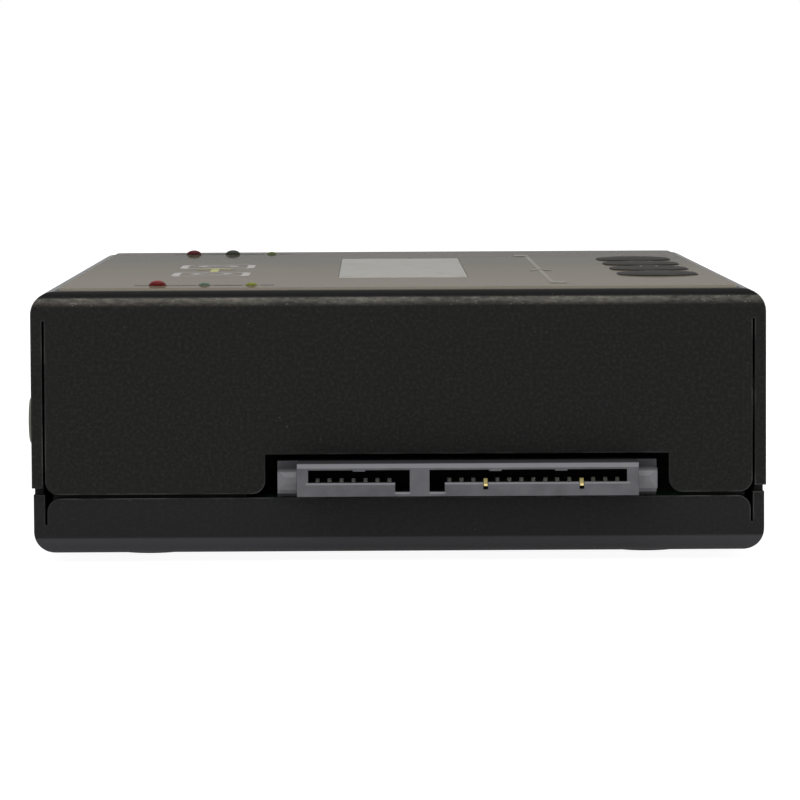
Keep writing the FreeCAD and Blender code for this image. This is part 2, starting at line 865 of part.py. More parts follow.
PIN_HOLE = "header_pin_width + 2 * fit_gap"
display_holes = [
    pin(f"display_pin_hole_{i}", *display_pin(i), PIN_HOLE, DISPLAY_UNDER, DISPLAY_TOP)
    for i in range(DISPLAY_PINS)
]
display_screw_holes = [
    rod(f"display_screw_hole_{i}", "z", place, "small_screw_radius + fit_gap", DISPLAY_UNDER, DISPLAY_TOP)
    for i, place in enumerate(display_corners())
]
keep(
    cut(
        "display_board",
        block(
            "display_board_blank",
            centred("display_centre_x", "display_board_width"),
            centred("0", "display_board_length"),
            (DISPLAY_UNDER, DISPLAY_TOP),
        ),
        *display_holes,
        *display_screw_holes,
    ),
    "display_board",
)
keep(
    group(
        "display_pins",
        *[
            pin(
                f"display_pin_{i}", *display_pin(i), "header_pin_width",
                f"{PANEL_UNDER} - lead_tail", f"{DISPLAY_TOP} + lead_tail",
            )
            for i in range(DISPLAY_PINS)
        ],
    ),
    "display_pins",
)


def tube(name, place, outer, inner, low, high):
    """A short upright hexagonal bar with a round bore."""
    return cut(
        name, hexagon(f"{name}_outside", *place, outer, low, high),
        rod(f"{name}_bore", "z", place, inner, low, high),
    )


keep(
    group(
        "display_spacers",
        *[
            tube(
                f"display_spacer_{i}", place, "small_screw_head", "small_screw_radius + fit_gap",
                PANEL_TOP, DISPLAY_UNDER,
            )
            for i, place in enumerate(display_corners())
        ],
    ),
    "display_spacers",
)


def small_screw(name, place, head, shank):
    """A small screw: a round head and its shank, each between two heights."""
    return join(
        name, rod(f"{name}_head", "z", place, "small_screw_head", *head),
        rod(f"{name}_shank", "z", place, "small_screw_radius", *shank),
    )


NUT_UNDER = f"({PANEL_UNDER} - nut_height)"
SMALL_THREAD = "small_screw_radius + thread_clearance"


display_screws = [
    small_screw(
        f"display_screw_{i}", place,
        (DISPLAY_TOP, f"{DISPLAY_TOP} + small_screw_head_height"), (NUT_UNDER, DISPLAY_TOP),
    )
    for i, place in enumerate(display_corners())
]
display_nuts = [
    tube(f"display_nut_{i}", place, "nut_radius", SMALL_THREAD, NUT_UNDER, PANEL_UNDER)
    for i, place in enumerate(display_corners())
]
keep(group("display_screws_and_nuts", *display_screws, *display_nuts), "display_screws_and_nuts")

# ---------------------------------------------------------------- keys and lamps

KEY_TOP = f"({FILM_TOP} + key_proud)"
FLANGE_TOP = f"({COVER_UNDER} - key_clearance)"
FLANGE_UNDER = f"({FLANGE_TOP} - key_flange_thickness)"
PLUNGER_TOP = f"({PANEL_TOP} + key_switch_height)"
SWITCH_TOP = f"({PANEL_TOP} + key_switch_body)"


def make_key(number):
    """One moulded key: a hollow oval cap with a flange that keeps it under the cover."""
    key = Worked(f"key_{number + 1}")
    y = key_y(number)
    cap = oval(key.sketch("XY_Plane", FLANGE_UNDER), KEY_X, y, "key_width", "key_length")
    key.pad(cap, f"{KEY_TOP} - {FLANGE_UNDER}")
    top = value(KEY_TOP)
    key.bevel_edges(lambda edge: near(edge.CenterOfMass.z, top), "key_edge")
    flange = oval(
        key.sketch("XY_Plane", FLANGE_UNDER), KEY_X, y,
        "key_width + 2 * key_flange", "key_length + 2 * key_flange",
    )
    key.pad(flange, "key_flange_thickness")
    hollow = oval(
        key.sketch("XY_Plane", f"{KEY_TOP} - key_roof"), KEY_X, y,
        "key_width - 2 * key_wall", "key_length - 2 * key_wall",
    )
    key.pocket(hollow, f"{KEY_TOP} - key_roof - {FLANGE_UNDER}")
    post = circle(key.sketch("XY_Plane", PLUNGER_TOP), KEY_X, y, "key_post_radius")
    key.pad(post, f"{KEY_TOP} - key_roof / 2 - {PLUNGER_TOP}")


for number in range(KEY_COUNT):
    make_key(number)
    keep(
        rod(
            f"key_plunger_{number + 1}", "z", (KEY_X, key_y(number)),
            "key_plunger_radius", f"{SWITCH_TOP} - key_plunger_depth", PLUNGER_TOP,
        ),
        f"key_plunger_{number + 1}",
    )


def key_switch(number):
    """Base of a tact switch, bored for its plunger."""
    y = key_y(number)
    base = block(
        f"key_switch_{number}_blank",
        centred(KEY_X, "key_switch_width"),
        centred(y, "key_switch_width"),
        (PANEL_TOP, SWITCH_TOP),
    )
    bore = rod(
        f"key_switch_{number}_bore", "z", (KEY_X, y), "key_plunger_radius + key_plunger_slack",
        f"{SWITCH_TOP} - key_plunger_depth - 2 * key_travel", SWITCH_TOP,
    )
    return cut(f"key_switch_{number}", base, bore)


keep(group("key_switches", *[key_switch(i) for i in range(KEY_COUNT)]), "key_switches")

LAMP_TOP = f"({FILM_TOP} + lamp_proud)"
LAMP_UNDER = f"({LAMP_TOP} - lamp_body)"


def make_lamp(label, number, end):
    """One lamp: a clear body with a shallow dome above the film and a flange at its foot."""
    x = lamp_x(number)
    y = f"{end} * {LAMP_Y}"
    ball_radius = "((lamp_radius * lamp_radius + lamp_proud * lamp_proud) / (2 * lamp_proud))"
    stem = rod(f"{label}_stem", "z", (x, y), "lamp_radius", LAMP_UNDER, f"{LAMP_TOP} + fit_gap")
    ball = doc.addObject("Part::Sphere", f"{label}_ball")
    bind(ball, "Radius", ball_radius)
    for axis, place in zip("xyz", (x, y, f"{LAMP_TOP} - {ball_radius}")):
        bind(ball, f"Placement.Base.{axis}", place)
    ball.Angle1 = 0
    dome = doc.addObject("Part::Common", f"{label}_dome")
    dome.Base = ball
    dome.Tool = stem
    low_stem = rod(f"{label}_low_stem", "z", (x, y), "lamp_radius", LAMP_UNDER, FILM_TOP)
    flange = rod(
        f"{label}_flange", "z", (x, y), "lamp_flange_radius", LAMP_UNDER, f"{LAMP_UNDER} + lamp_flange_height"
    )
    keep(join(label, low_stem, flange, dome), label)


def lamp_leads(name, low, high, width):
    """The two leads of every lamp, or the holes that they pass through."""
    places = [
        (f"{lamp_x(number)} + {side} * lead_spread", f"{end} * {LAMP_Y}")
        for end in (-1, 1)
        for number in range(LAMPS_PER_ROW)
        for side in (-1, 1)
    ]
    return [pin(f"{name}_{i}", x, y, width, low, high) for i, (x, y) in enumerate(places)]


for row, end in (("front", -1), ("rear", 1)):
    for number in range(LAMPS_PER_ROW):
        make_lamp(f"lamp_{row}_{number + 1}", number, end)
keep(
    group("lamp_leads", *lamp_leads("lamp_lead", f"{PANEL_UNDER} - lead_tail", LAMP_UNDER, "lead_width")),
    "lamp_leads",
)

# ---------------------------------------------------------------- boards, posts and screws

PANEL_POSTS = [
    (x, f"{end} * {PANEL_POST_Y}")
    for x in (f"{PANEL_LEFT} + panel_post_left_inset", f"{PANEL_RIGHT} - panel_post_right_inset")
    for end in (-1, 1)
]
panel_holes = (
    lamp_leads("lamp_lead_hole", PANEL_UNDER, PANEL_TOP, "lead_width + 2 * fit_gap")
    + [
        pin(f"panel_pin_hole_{i}", *display_pin(i), PIN_HOLE, PANEL_UNDER, PANEL_TOP)
        for i in range(DISPLAY_PINS)
    ]
    + [
        rod(f"panel_screw_hole_{i}", "z", place, "small_screw_radius + fit_gap", PANEL_UNDER, PANEL_TOP)
        for i, place in enumerate(PANEL_POSTS + display_corners())
    ]
)
keep(
    cut(
        "panel_board",
        block(
            "panel_board_blank",
            (PANEL_LEFT, PANEL_RIGHT),
            (f"-{PANEL_END}", PANEL_END),
            (PANEL_UNDER, PANEL_TOP),
        ),
        *panel_holes,
    ),
    "panel_board",
)
keep(
    group(
        "panel_posts",
        *[
            cut(
                f"panel_post_{i}",
                hexagon(f"panel_post_{i}_bar", *place, "panel_post_radius", PANEL_TOP, COVER_UNDER),
                rod(
                    f"panel_post_{i}_bore", "z", place, SMALL_THREAD,
                    PANEL_TOP, f"{PANEL_TOP} + panel_screw_length",
                ),
            )
            for i, place in enumerate(PANEL_POSTS)
        ],
    ),
    "panel_posts",
)
keep(
    group(
        "panel_screws",
        *[
            small_screw(
                f"panel_screw_{i}", place, (f"{PANEL_UNDER} - small_screw_head_height", PANEL_UNDER),
                (PANEL_UNDER, f"{PANEL_UNDER} + panel_screw_length"),
            )
            for i, place in enumerate(PANEL_POSTS)
        ],
    ),
    "panel_screws",
)

CASE_POSTS = corners(POST_X, POST_Y)
CASE_SCREW_HOLE = "case_screw_radius + screw_clearance"
keep(
    cut(
        "main_board",
        block(
            "main_board_blank",
            (BOARD_LEFT, BOARD_RIGHT),
            (f"-{BOARD_END}", BOARD_END),
            (BOARD_UNDER, BOARD_TOP),
        ),
        *[
            rod(f"main_board_hole_{i}", "z", place, CASE_SCREW_HOLE, BOARD_UNDER, BOARD_TOP)
            for i, place in enumerate(CASE_POSTS)
        ],
    ),
    "main_board",
)
keep(
    group(
        "board_spacers",
        *[
            tube(
                f"board_spacer_{i}", place, "spacer_radius", CASE_SCREW_HOLE,
                PAN_FLOOR, BOARD_UNDER,
            )
            for i, place in enumerate(CASE_POSTS)
        ],
    ),
    "board_spacers",
)
keep(
    group(
        "cover_posts",
        *[
            cut(
                f"cover_post_{i}",
                hexagon(f"cover_post_{i}_bar", *place, "post_radius", BOARD_TOP, COVER_UNDER),
                rod(
                    f"cover_post_{i}_bore", "z", place, "case_screw_radius + thread_clearance",
                    BOARD_TOP, f"{PAN_UNDER} + case_screw_length + wall",
                ),
            )
            for i, place in enumerate(CASE_POSTS)
        ],
    ),
    "cover_posts",
)


def case_screw(number, place):
    """A countersunk screw that lies flush in the pan and reaches up into a cover post."""
    name = f"case_screw_{number}"
    head = doc.addObject("Part::Cone", f"{name}_head")
    bind(head, "Radius1", "case_screw_head")
    bind(head, "Radius2", "case_screw_radius")
    bind(head, "Height", "case_screw_head_height")
    for axis, spot in zip("xyz", (*place, PAN_UNDER)):
        bind(head, f"Placement.Base.{axis}", spot)
    shank = rod(
        f"{name}_shank", "z", place, "case_screw_radius",
        f"{PAN_UNDER} + case_screw_head_height", f"{PAN_UNDER} + case_screw_length",
    )
    recess = hexagon(f"{name}_recess", *place, "recess_radius", PAN_UNDER, f"{PAN_UNDER} + recess_depth")
    return cut(name, join(f"{name}_blank", head, shank), recess)


keep(group("case_screws", *[case_screw(i, place) for i, place in enumerate(CASE_POSTS)]), "case_screws")

# ---------------------------------------------------------------- drive sockets

SOCKET_LOW = f"({BOARD_TOP} + socket_lift)"
SOCKET_HIGH = f"({SOCKET_LOW} + socket_height)"
SLOT_FLOOR = f"({SOCKET_LOW} + slot_floor)"
SLOT_CEILING = f"({SOCKET_LOW} + slot_ceiling)"
LEG_FLOOR = f"({SOCKET_LOW} + leg_floor)"
NOSE = "(-socket_reach)"
SOCKET_BACK = f"({NOSE} + socket_depth)"
EAR_FACE = f"({NOSE} + ear_setback)"
SOCKET_FOOT = "(wall + board_edge_gap)"
GROOVE_WIDTH = "contact_width + 2 * groove_clearance"


def seat_socket(thing, end):
    """Put a piece made about the socket's middle at the front or the rear end of the case."""
    if end > 0:
        thing.Placement.Rotation = FreeCAD.Rotation(FreeCAD.Vector(0, 0, 1), 180)
    bind(thing, "Placement.Base.x", SOCKET_X)
    bind(thing, "Placement.Base.y", f"{end} * {END_FACE}")


def slot_outline(sketch, start, finish, leg_edge, rib_count):
    """An L-shaped slot, its short leg at the start, with evenly spaced ribs under its ceiling."""
    half_rib = "rib_width / 2" if value(finish) > value(start) else "(-rib_width / 2)"
    rib_low = f"{SLOT_CEILING} - rib_height"
    points = [(start, LEG_FLOOR), (start, SLOT_CEILING)]
    for number in range(1, rib_count + 1):
        rib = f"{start} + ({finish} - {start}) * {number} / {rib_count + 1}"
        points += [
            (f"{rib} - {half_rib}", SLOT_CEILING), (f"{rib} - {half_rib}", rib_low),
            (f"{rib} + {half_rib}", rib_low), (f"{rib} + {half_rib}", SLOT_CEILING),
        ]
    points += [(finish, SLOT_CEILING), (finish, SLOT_FLOOR), (leg_edge, SLOT_FLOOR), (leg_edge, LEG_FLOOR)]
    return outline(sketch, *points)


def back_sketch(socket):
    """A sketch on the plane of the socket's back, from which its parts run forward."""
    return socket.sketch("XZ_Plane", f"-{SOCKET_BACK}")


def make_socket_housing(label, end):
    """Moulded housing: a nose with two L-shaped slots, ears, guide posts and contact grooves."""
    socket = Worked(label)
    ears = centred("0", "socket_width + 2 * socket_ear")
    nose = rectangle(back_sketch(socket), centred("0", "socket_width"), (SOCKET_LOW, SOCKET_HIGH))
    socket.pad(nose, "socket_depth")
    shoulders = rectangle(back_sketch(socket), ears, (SOCKET_LOW, SOCKET_HIGH))
    socket.pad(shoulders, "socket_depth - ear_setback")
    foot = rectangle(back_sketch(socket), ears, (BOARD_TOP, SOCKET_LOW))
    socket.pad(foot, f"{SOCKET_BACK} - {SOCKET_FOOT}")

    slots = socket.sketch("XZ_Plane", f"-{NOSE}")
    signal_leg_edge = "signal_slot_right - signal_leg"
    slot_outline(slots, "signal_slot_right", "signal_slot_left", signal_leg_edge, SIGNAL_RIB_COUNT)
    slot_outline(slots, "power_slot_left", "power_slot_right", "power_slot_left + power_leg", POWER_RIB_COUNT)
    socket.pocket(slots, "slot_depth")

    for side in (-1, 1):
        inner = f"{side} * socket_width / 2"
        outer = f"{side} * (socket_width / 2 + guide_post_width)"
        low = f"{SOCKET_LOW} + guide_post_low"
        post = rectangle(
            socket.sketch("XZ_Plane", f"-{EAR_FACE}"), (inner, outer), (low, f"{low} + guide_post_height")
        )
        socket.pad(post, "ear_setback - post_setback")
    tip = value(f"{NOSE} + post_setback")
    inner_side = value("socket_width / 2")
    clear = value("fit_gap")
    socket.bevel_edges(
        lambda edge: near(edge.CenterOfMass.y, tip) and abs(edge.CenterOfMass.x) > inner_side + clear,
        "guide_post_taper",
    )

    for first, count in (("first_signal_contact", SIGNAL_CONTACTS), ("first_power_contact", POWER_CONTACTS)):
        groove = rectangle(
            socket.sketch("XZ_Plane", f"-({NOSE} + contact_tip)"),
            centred(first, GROOVE_WIDTH),
            (f"{SLOT_FLOOR} - groove_depth", SLOT_FLOOR),
        )
        first_groove = socket.pocket(groove, "socket_depth")
        socket.repeat(first_groove, groove, count, "contact_pitch")

    mouths = socket.sketch("XZ_Plane", f"-{NOSE}")
    for number in LONG_POWER_CONTACTS:
        rectangle(
            mouths,
            centred(f"first_power_contact + {number - 1} * contact_pitch", GROOVE_WIDTH),
            (f"{SLOT_FLOOR} - front_notch_height", SLOT_FLOOR),
        )
    socket.pocket(mouths, "front_notch_depth")
    seat_socket(socket.body, end)


def contact_profile(name, tip):
    """Side view of one contact: a sprung crest in the slot, a long beam and a foot on the board."""
    sketch = doc.addObject("Sketcher::SketchObject", name)
    sketch.Placement.Rotation = FreeCAD.Rotation(FreeCAD.Vector(1, 1, 1), 120)
    point = f"{NOSE} + {tip}"
    crest = f"({point} + 2 * contact_thickness + contact_crest)"
    heel = f"({crest} + 4 * contact_crest)"
    tail = f"({SOCKET_BACK} + contact_tail)"
    beam = f"({SLOT_FLOOR} - contact_thickness)"
    foot_top = f"{BOARD_TOP} + contact_thickness"
    upper = [
        (point, beam), (crest, f"{SLOT_FLOOR} + contact_crest"), (heel, beam), (tail, beam),
        (tail, foot_top), (f"{tail} + contact_foot", foot_top),
    ]
    lower = [
        (f"{tail} + contact_foot", BOARD_TOP), (f"{tail} - contact_thickness", BOARD_TOP),
        (f"{tail} - contact_thickness", f"{beam} - contact_thickness"), (heel, f"{beam} - contact_thickness"),
        (crest, f"{SLOT_FLOOR} + contact_crest - contact_thickness"), (point, f"{beam} - contact_thickness"),
    ]
    return outline(sketch, *upper, *lower)


def make_contacts(label, end, tip, places):
    """A row of contacts stamped from one profile."""
    profile = contact_profile(f"{label}_profile", tip)
    strip = doc.addObject("Part::Extrusion", f"{label}_strip")
    strip.Base = profile
    strip.DirMode = "Normal"
    strip.Solid = True
    strip.Symmetric = True
    bind(strip, "LengthFwd", "contact_width")
    doc.recompute()
    row = doc.addObject("Part::Feature", label)
    row.Shape = Part.Compound([strip.Shape.translated(FreeCAD.Vector(value(x), 0, 0)) for x in places])
    seat_socket(row, end)
    keep(row, label)


def contact_places(first, numbers):
    """Places of numbered contacts in a row."""
    return [f"{first} + {number - 1} * contact_pitch" for number in numbers]


for side, end in (("front", -1), ("rear", 1)):
    make_socket_housing(f"{side}_socket_housing", end)
    short_numbers = [n for n in range(1, POWER_CONTACTS + 1) if n not in LONG_POWER_CONTACTS]
    make_contacts(
        f"{side}_socket_contacts", end, "contact_tip",
        contact_places("first_signal_contact", range(1, SIGNAL_CONTACTS + 1))
        + contact_places("first_power_contact", short_numbers),
    )
    make_contacts(
        f"{side}_socket_long_contacts", end, "long_contact_tip",
        contact_places("first_power_contact", LONG_POWER_CONTACTS),
    )

# ---------------------------------------------------------------- DC inlet

INLET_FACE = f"({LEFT_INNER} + inlet_wall_gap)"
INLET_Z = f"({PAN_UNDER} + inlet_height)"
INLET_BACK = f"({INLET_FACE} + inlet_body_length)"
INLET_SIDE = "(inlet_y + inlet_body_width / 2 - fit_gap)"


def make_inlet():
    """Inlet housing: a square face, a lower back and a round bore for the plug's barrel."""
    inlet = Worked("inlet_housing")
    face = rectangle(
        inlet.sketch("YZ_Plane", INLET_FACE),
        centred("inlet_y", "inlet_body_width"),
        (BOARD_TOP, f"{BOARD_TOP} + inlet_body_height"),
    )
    inlet.pad(face, "inlet_shoulder")
    back = circle(inlet.sketch("YZ_Plane", INLET_FACE), "inlet_y", INLET_Z, "inlet_body_width / 2 - fit_gap")
    inlet.pad(back, "inlet_body_length")
    base = rectangle(
        inlet.sketch("YZ_Plane", INLET_FACE), centred("inlet_y", "inlet_body_width - 2 * fit_gap"),
        (BOARD_TOP, INLET_Z),
    )
    inlet.pad(base, "inlet_body_length")
    bore = circle(
        inlet.sketch("YZ_Plane", f"{INLET_FACE} + inlet_barrel_depth"), "inlet_y", INLET_Z, "inlet_barrel"
    )
    inlet.pocket(bore, "2 * inlet_barrel_depth")


make_inlet()
inlet_shaft = rod(
    "inlet_pin_shaft", "x", ("inlet_y", INLET_Z), "inlet_pin",
    f"{INLET_FACE} + inlet_barrel_depth - inlet_pin_length", f"{INLET_FACE} + inlet_barrel_depth",
)
keep(inlet_shaft, "inlet_pin")
keep(
    group(
        "inlet_blades",
        block(
            "inlet_rear_blade", (INLET_BACK, f"{INLET_BACK} + blade_thickness"),
            centred("inlet_y", "blade_width"), (BOARD_TOP, INLET_Z),
        ),
        block(
            "inlet_side_blade", centred(f"{INLET_FACE} + inlet_body_length / 2", "blade_width"),
            (INLET_SIDE, f"{INLET_SIDE} + blade_thickness"),
            (BOARD_TOP, INLET_Z),
        ),
    ),
    "inlet_blades",
)

# ---------------------------------------------------------------- power button

BUTTON_Z = f"({PAN_UNDER} + button_height)"
BUTTON_FACE = f"({LEFT_FACE} - button_proud)"
BUTTON_FLANGE = f"({LEFT_INNER} + button_clearance)"
BUTTON_BACK = f"({BUTTON_FLANGE} + button_flange_thickness)"
POWER_SWITCH_FACE = f"({BUTTON_BACK} + button_travel + power_switch_gap)"


def make_button():
    """Push button: a round cap with a flange inside the wall and a blind hole for the plunger."""
    button = Worked("power_button")
    cap = circle(button.sketch("YZ_Plane", BUTTON_FACE), "button_y", BUTTON_Z, "button_radius")
    button.pad(cap, f"{BUTTON_BACK} - {BUTTON_FACE}")
    face = value(BUTTON_FACE)
    button.bevel_edges(lambda edge: near(edge.CenterOfMass.x, face), "button_bevel")
    flange = circle(button.sketch("YZ_Plane", BUTTON_FLANGE), "button_y", BUTTON_Z, "button_flange")
    button.pad(flange, "button_flange_thickness")
    back = button.sketch("YZ_Plane", BUTTON_BACK)
    hole = circle(back, "button_y", BUTTON_Z, "plunger_radius + thread_clearance")
    button.pocket(hole, "button_socket_depth")


make_button()
keep(
    rod(
        "power_plunger", "x", ("button_y", BUTTON_Z), "plunger_radius",
        f"{BUTTON_BACK} - button_socket_depth", f"{POWER_SWITCH_FACE} + plunger_reach",
    ),
    "power_plunger",
)
keep(
    cut(
        "power_switch",
        block(
            "power_switch_blank", (POWER_SWITCH_FACE, f"{POWER_SWITCH_FACE} + power_switch_length"),
            centred("button_y", "power_switch_width"), (BOARD_TOP, f"{BOARD_TOP} + power_switch_height"),
        ),
        rod(
            "power_switch_bore", "x", ("button_y", BUTTON_Z), "plunger_radius + button_clearance",
            POWER_SWITCH_FACE, f"{POWER_SWITCH_FACE} + plunger_reach + button_travel + button_clearance",
        ),
    ),
    "power_switch",
)

# ---------------------------------------------------------------- electronics on the main board


def chip(label, x, y, width, length, height):
    """A chip's moulded body, lifted a little off the board."""
    low = f"{BOARD_TOP} + chip_standoff"
    return keep(block(label, centred(x, width), centred(y, length), (low, f"{low} + {height}")), label)


def chip_leads(name, x, y, width, length, pitch, count, sides):
    """Leads of a chip: flat feet beside its body, in rows on two or on four sides."""
    leads = []
    top = f"{BOARD_TOP} + chip_standoff + 2 * chip_lead_thickness"
    for number in range(count):
        along = f"({number} - {(count - 1) / 2}) * {pitch}"
        for side in (-1, 1):
            if "x" in sides:
                edge = f"{x} + {side} * {width} / 2"
                reach = sorted((edge, f"{edge} + {side} * chip_lead"), key=value)
                across = centred(f"{y} + {along}", "chip_lead_width")
                leads.append(block(f"{name}_{len(leads)}", reach, across, (BOARD_TOP, top)))
            if "y" in sides:
                edge = f"{y} + {side} * {length} / 2"
                reach = sorted((edge, f"{edge} + {side} * chip_lead"), key=value)
                across = centred(f"{x} + {along}", "chip_lead_width")
                leads.append(block(f"{name}_{len(leads)}", across, reach, (BOARD_TOP, top)))
    return leads


FLASH_X = f"({BOARD_LEFT} + flash_inset)"
COIL_X = f"({BOARD_LEFT} + coil_inset)"
COIL_Y = f"(coil_end_inset - {BOARD_END})"
RIGHT_CAPACITOR_X = f"({BOARD_RIGHT} - right_capacitor_inset)"
CAPACITOR_Y = f"({BOARD_END} - capacitor_end_inset)"
CAPACITOR_PLACES = [
    (f"{BOARD_LEFT} + left_capacitor_inset", "left_capacitor_y"),
    (RIGHT_CAPACITOR_X, f"-{CAPACITOR_Y}"),
    (RIGHT_CAPACITOR_X, CAPACITOR_Y),
]
BUZZER_PLACE = (f"{BOARD_LEFT} + buzzer_inset", f"{BOARD_END} - buzzer_end_inset")

chip("controller_chip", "controller_x", "0", "controller_size", "controller_size", "controller_height")
chip("memory_chip", "controller_x", "memory_y", "memory_width", "memory_length", "memory_height")
chip("flash_chip", FLASH_X, "flash_y", "flash_width", "flash_length", "flash_height")
keep(
    group(
        "chip_leads",
        *chip_leads(
            "controller_lead", "controller_x", "0", "controller_size", "controller_size",
            "fine_lead_pitch", CONTROLLER_LEAD_COUNT, "xy",
        ),
        *chip_leads(
            "memory_lead", "controller_x", "memory_y", "memory_width", "memory_length",
            "fine_lead_pitch", MEMORY_LEAD_COUNT, "x",
        ),
        *chip_leads(
            "flash_lead", FLASH_X, "flash_y", "flash_width", "flash_length",
            "fine_lead_pitch", FLASH_LEAD_COUNT, "x",
        ),
    ),
    "chip_leads",
)
keep(
    group(
        "power_coils",
        *[
            block(
                f"coil_{i}", centred(COIL_X, "coil_size"),
                centred(f"{COIL_Y} + {i} * coil_pitch", "coil_size"),
                (BOARD_TOP, f"{BOARD_TOP} + coil_height"),
            )
            for i in range(2)
        ],
    ),
    "power_coils",
)
keep(
    group(
        "capacitor_bases",
        *[
            block(
                f"capacitor_base_{i}", centred(x, "capacitor_base"), centred(y, "capacitor_base"),
                (BOARD_TOP, f"{BOARD_TOP} + capacitor_base_height"),
            )
            for i, (x, y) in enumerate(CAPACITOR_PLACES)
        ],
    ),
    "capacitor_bases",
)
keep(
    group(
        "capacitor_cans",
        *[
            rod(
                f"capacitor_can_{i}", "z", place, "capacitor_radius",
                f"{BOARD_TOP} + capacitor_base_height", f"{BOARD_TOP} + capacitor_height",
            )
            for i, place in enumerate(CAPACITOR_PLACES)
        ],
    ),
    "capacitor_cans",
)
keep(
    block(
        "crystal", centred("crystal_x", "crystal_length"), centred("crystal_y", "crystal_width"),
        (BOARD_TOP, f"{BOARD_TOP} + crystal_height"),
    ),
    "crystal",
)
keep(
    cut(
        "buzzer",
        rod("buzzer_case", "z", BUZZER_PLACE, "buzzer_radius", BOARD_TOP, f"{BOARD_TOP} + buzzer_height"),
        rod(
            "buzzer_opening", "z", BUZZER_PLACE, "buzzer_vent",
            f"{BOARD_TOP} + buzzer_height / 2", f"{BOARD_TOP} + buzzer_height",
        ),
    ),
    "buzzer",
)


def header_places():
    """Centres of the pins of the two-row header between the boards."""
    return [
        (f"{HEADER_X} + {side} * header_pitch / 2", f"({row} - {(HEADER_ROWS - 1) / 2}) * header_pitch")
        for row in range(HEADER_ROWS)
        for side in (-1, 1)
    ]


HEADER_TOP = f"({PANEL_UNDER} - header_strip_height)"
keep(
    cut(
        "header_socket",
        block(
            "header_socket_blank", centred(HEADER_X, "2 * header_pitch"),
            centred("0", f"{HEADER_ROWS} * header_pitch"), (BOARD_TOP, HEADER_TOP),
        ),
        *[
            pin(
                f"header_socket_hole_{i}", x, y, "header_pin_width + 2 * fit_gap",
                f"{HEADER_TOP} - header_reach - fit_gap", HEADER_TOP,
            )
            for i, (x, y) in enumerate(header_places())
        ],
    ),
    "header_socket",
)
keep(
    cut(
        "header_strip",
        block(
            "header_strip_blank", centred(HEADER_X, "2 * header_pitch"),
            centred("0", f"{HEADER_ROWS} * header_pitch"), (HEADER_TOP, PANEL_UNDER),
        ),
        *[
            pin(
                f"header_strip_hole_{i}", x, y, "header_pin_width",
                HEADER_TOP, PANEL_UNDER,
            )
            for i, (x, y) in enumerate(header_places())
        ],
    ),
    "header_strip",
)
keep(
    group(
        "header_pins",
        *[
            pin(f"header_pin_{i}", x, y, "header_pin_width", f"{HEADER_TOP} - header_reach", PANEL_UNDER)
            for i, (x, y) in enumerate(header_places())
        ],
    ),
    "header_pins",
)
CHIP_PART_REACH = "(controller_size / 2 + chip_part_gap)"
CHIP_PART_PLACES = [
    (f"controller_x + {side} * {CHIP_PART_REACH}", f"{step} * chip_part_pitch")
    for side in (-1, 1)
    for step in CHIP_PART_STEPS
]
keep(
    group(
        "small_passives",
        *[
            block(
                f"chip_part_{i}", centred(x, "chip_part_width"), centred(y, "chip_part_length"),
                (BOARD_TOP, f"{BOARD_TOP} + chip_part_height"),
            )
            for i, (x, y) in enumerate(CHIP_PART_PLACES)
        ],
    ),
    "small_passives",
)

# ---------------------------------------------------------------- checks and export

doc.recompute()
faults = [thing.Name for thing in doc.Objects if {"Invalid", "Error"} & set(thing.State)]
faults += [piece.Label for piece in pieces if piece.Shape.isNull() or not piece.Shape.isValid()]
if faults:
    raise RuntimeError(f"these objects failed: {faults}")
os.makedirs("parts", exist_ok=True)
for piece in pieces:
    piece.Shape.exportStep(f"parts/{piece.Label}.step")
print(f"{len(pieces)} sub-parts, {sum(len(piece.Shape.Solids) for piece in pieces)} solids")
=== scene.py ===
# %% [markdown]
# # A portable drive duplicator
# The real thing is a small black steel box that copies one disk drive to another. The CAD model brings every
# solid of it. This lesson lights that model, gives each part its finish, and adds the rounded and printed
# pieces that are easier to make as surfaces.
#
# Blender works in metres. Small parts are easier to think of in millimetres, so one factor turns them over.

# %% Load the CAD model
import math

import bpy
import numpy as np
from mathutils import Matrix, Vector


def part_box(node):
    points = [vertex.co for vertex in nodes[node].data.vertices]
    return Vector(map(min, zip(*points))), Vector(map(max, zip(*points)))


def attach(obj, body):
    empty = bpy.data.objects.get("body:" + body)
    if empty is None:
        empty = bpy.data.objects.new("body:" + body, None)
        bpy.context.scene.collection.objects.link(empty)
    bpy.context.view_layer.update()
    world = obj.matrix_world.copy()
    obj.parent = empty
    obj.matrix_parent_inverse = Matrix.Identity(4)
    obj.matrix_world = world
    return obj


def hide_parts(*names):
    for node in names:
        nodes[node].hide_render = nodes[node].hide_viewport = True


mm = 0.001
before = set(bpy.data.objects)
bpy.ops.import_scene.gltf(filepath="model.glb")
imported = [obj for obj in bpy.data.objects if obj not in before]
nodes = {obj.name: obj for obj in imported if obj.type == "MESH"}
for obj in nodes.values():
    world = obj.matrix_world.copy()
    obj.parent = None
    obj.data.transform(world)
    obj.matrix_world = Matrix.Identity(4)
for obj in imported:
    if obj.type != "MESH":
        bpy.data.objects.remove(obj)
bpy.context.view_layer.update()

# %% [markdown]
# ## Camera
# The box is seen almost level from half a metre, a little above its lid, with a long lens. A camera object
# could be turned with Euler angles, but three unit vectors say plainly which way it looks, which way is right
# and which way is up, and they are the columns of its matrix.

# %% Camera
CAMERA_PLACE = Vector((-2.65, -535.96, 48.75)) * mm
LOOK_DOWN = math.radians(3.787)
LOOK_RIGHT = math.radians(0.336)
CAMERA_ROLL = math.radians(-0.282)
LENS = 201.87

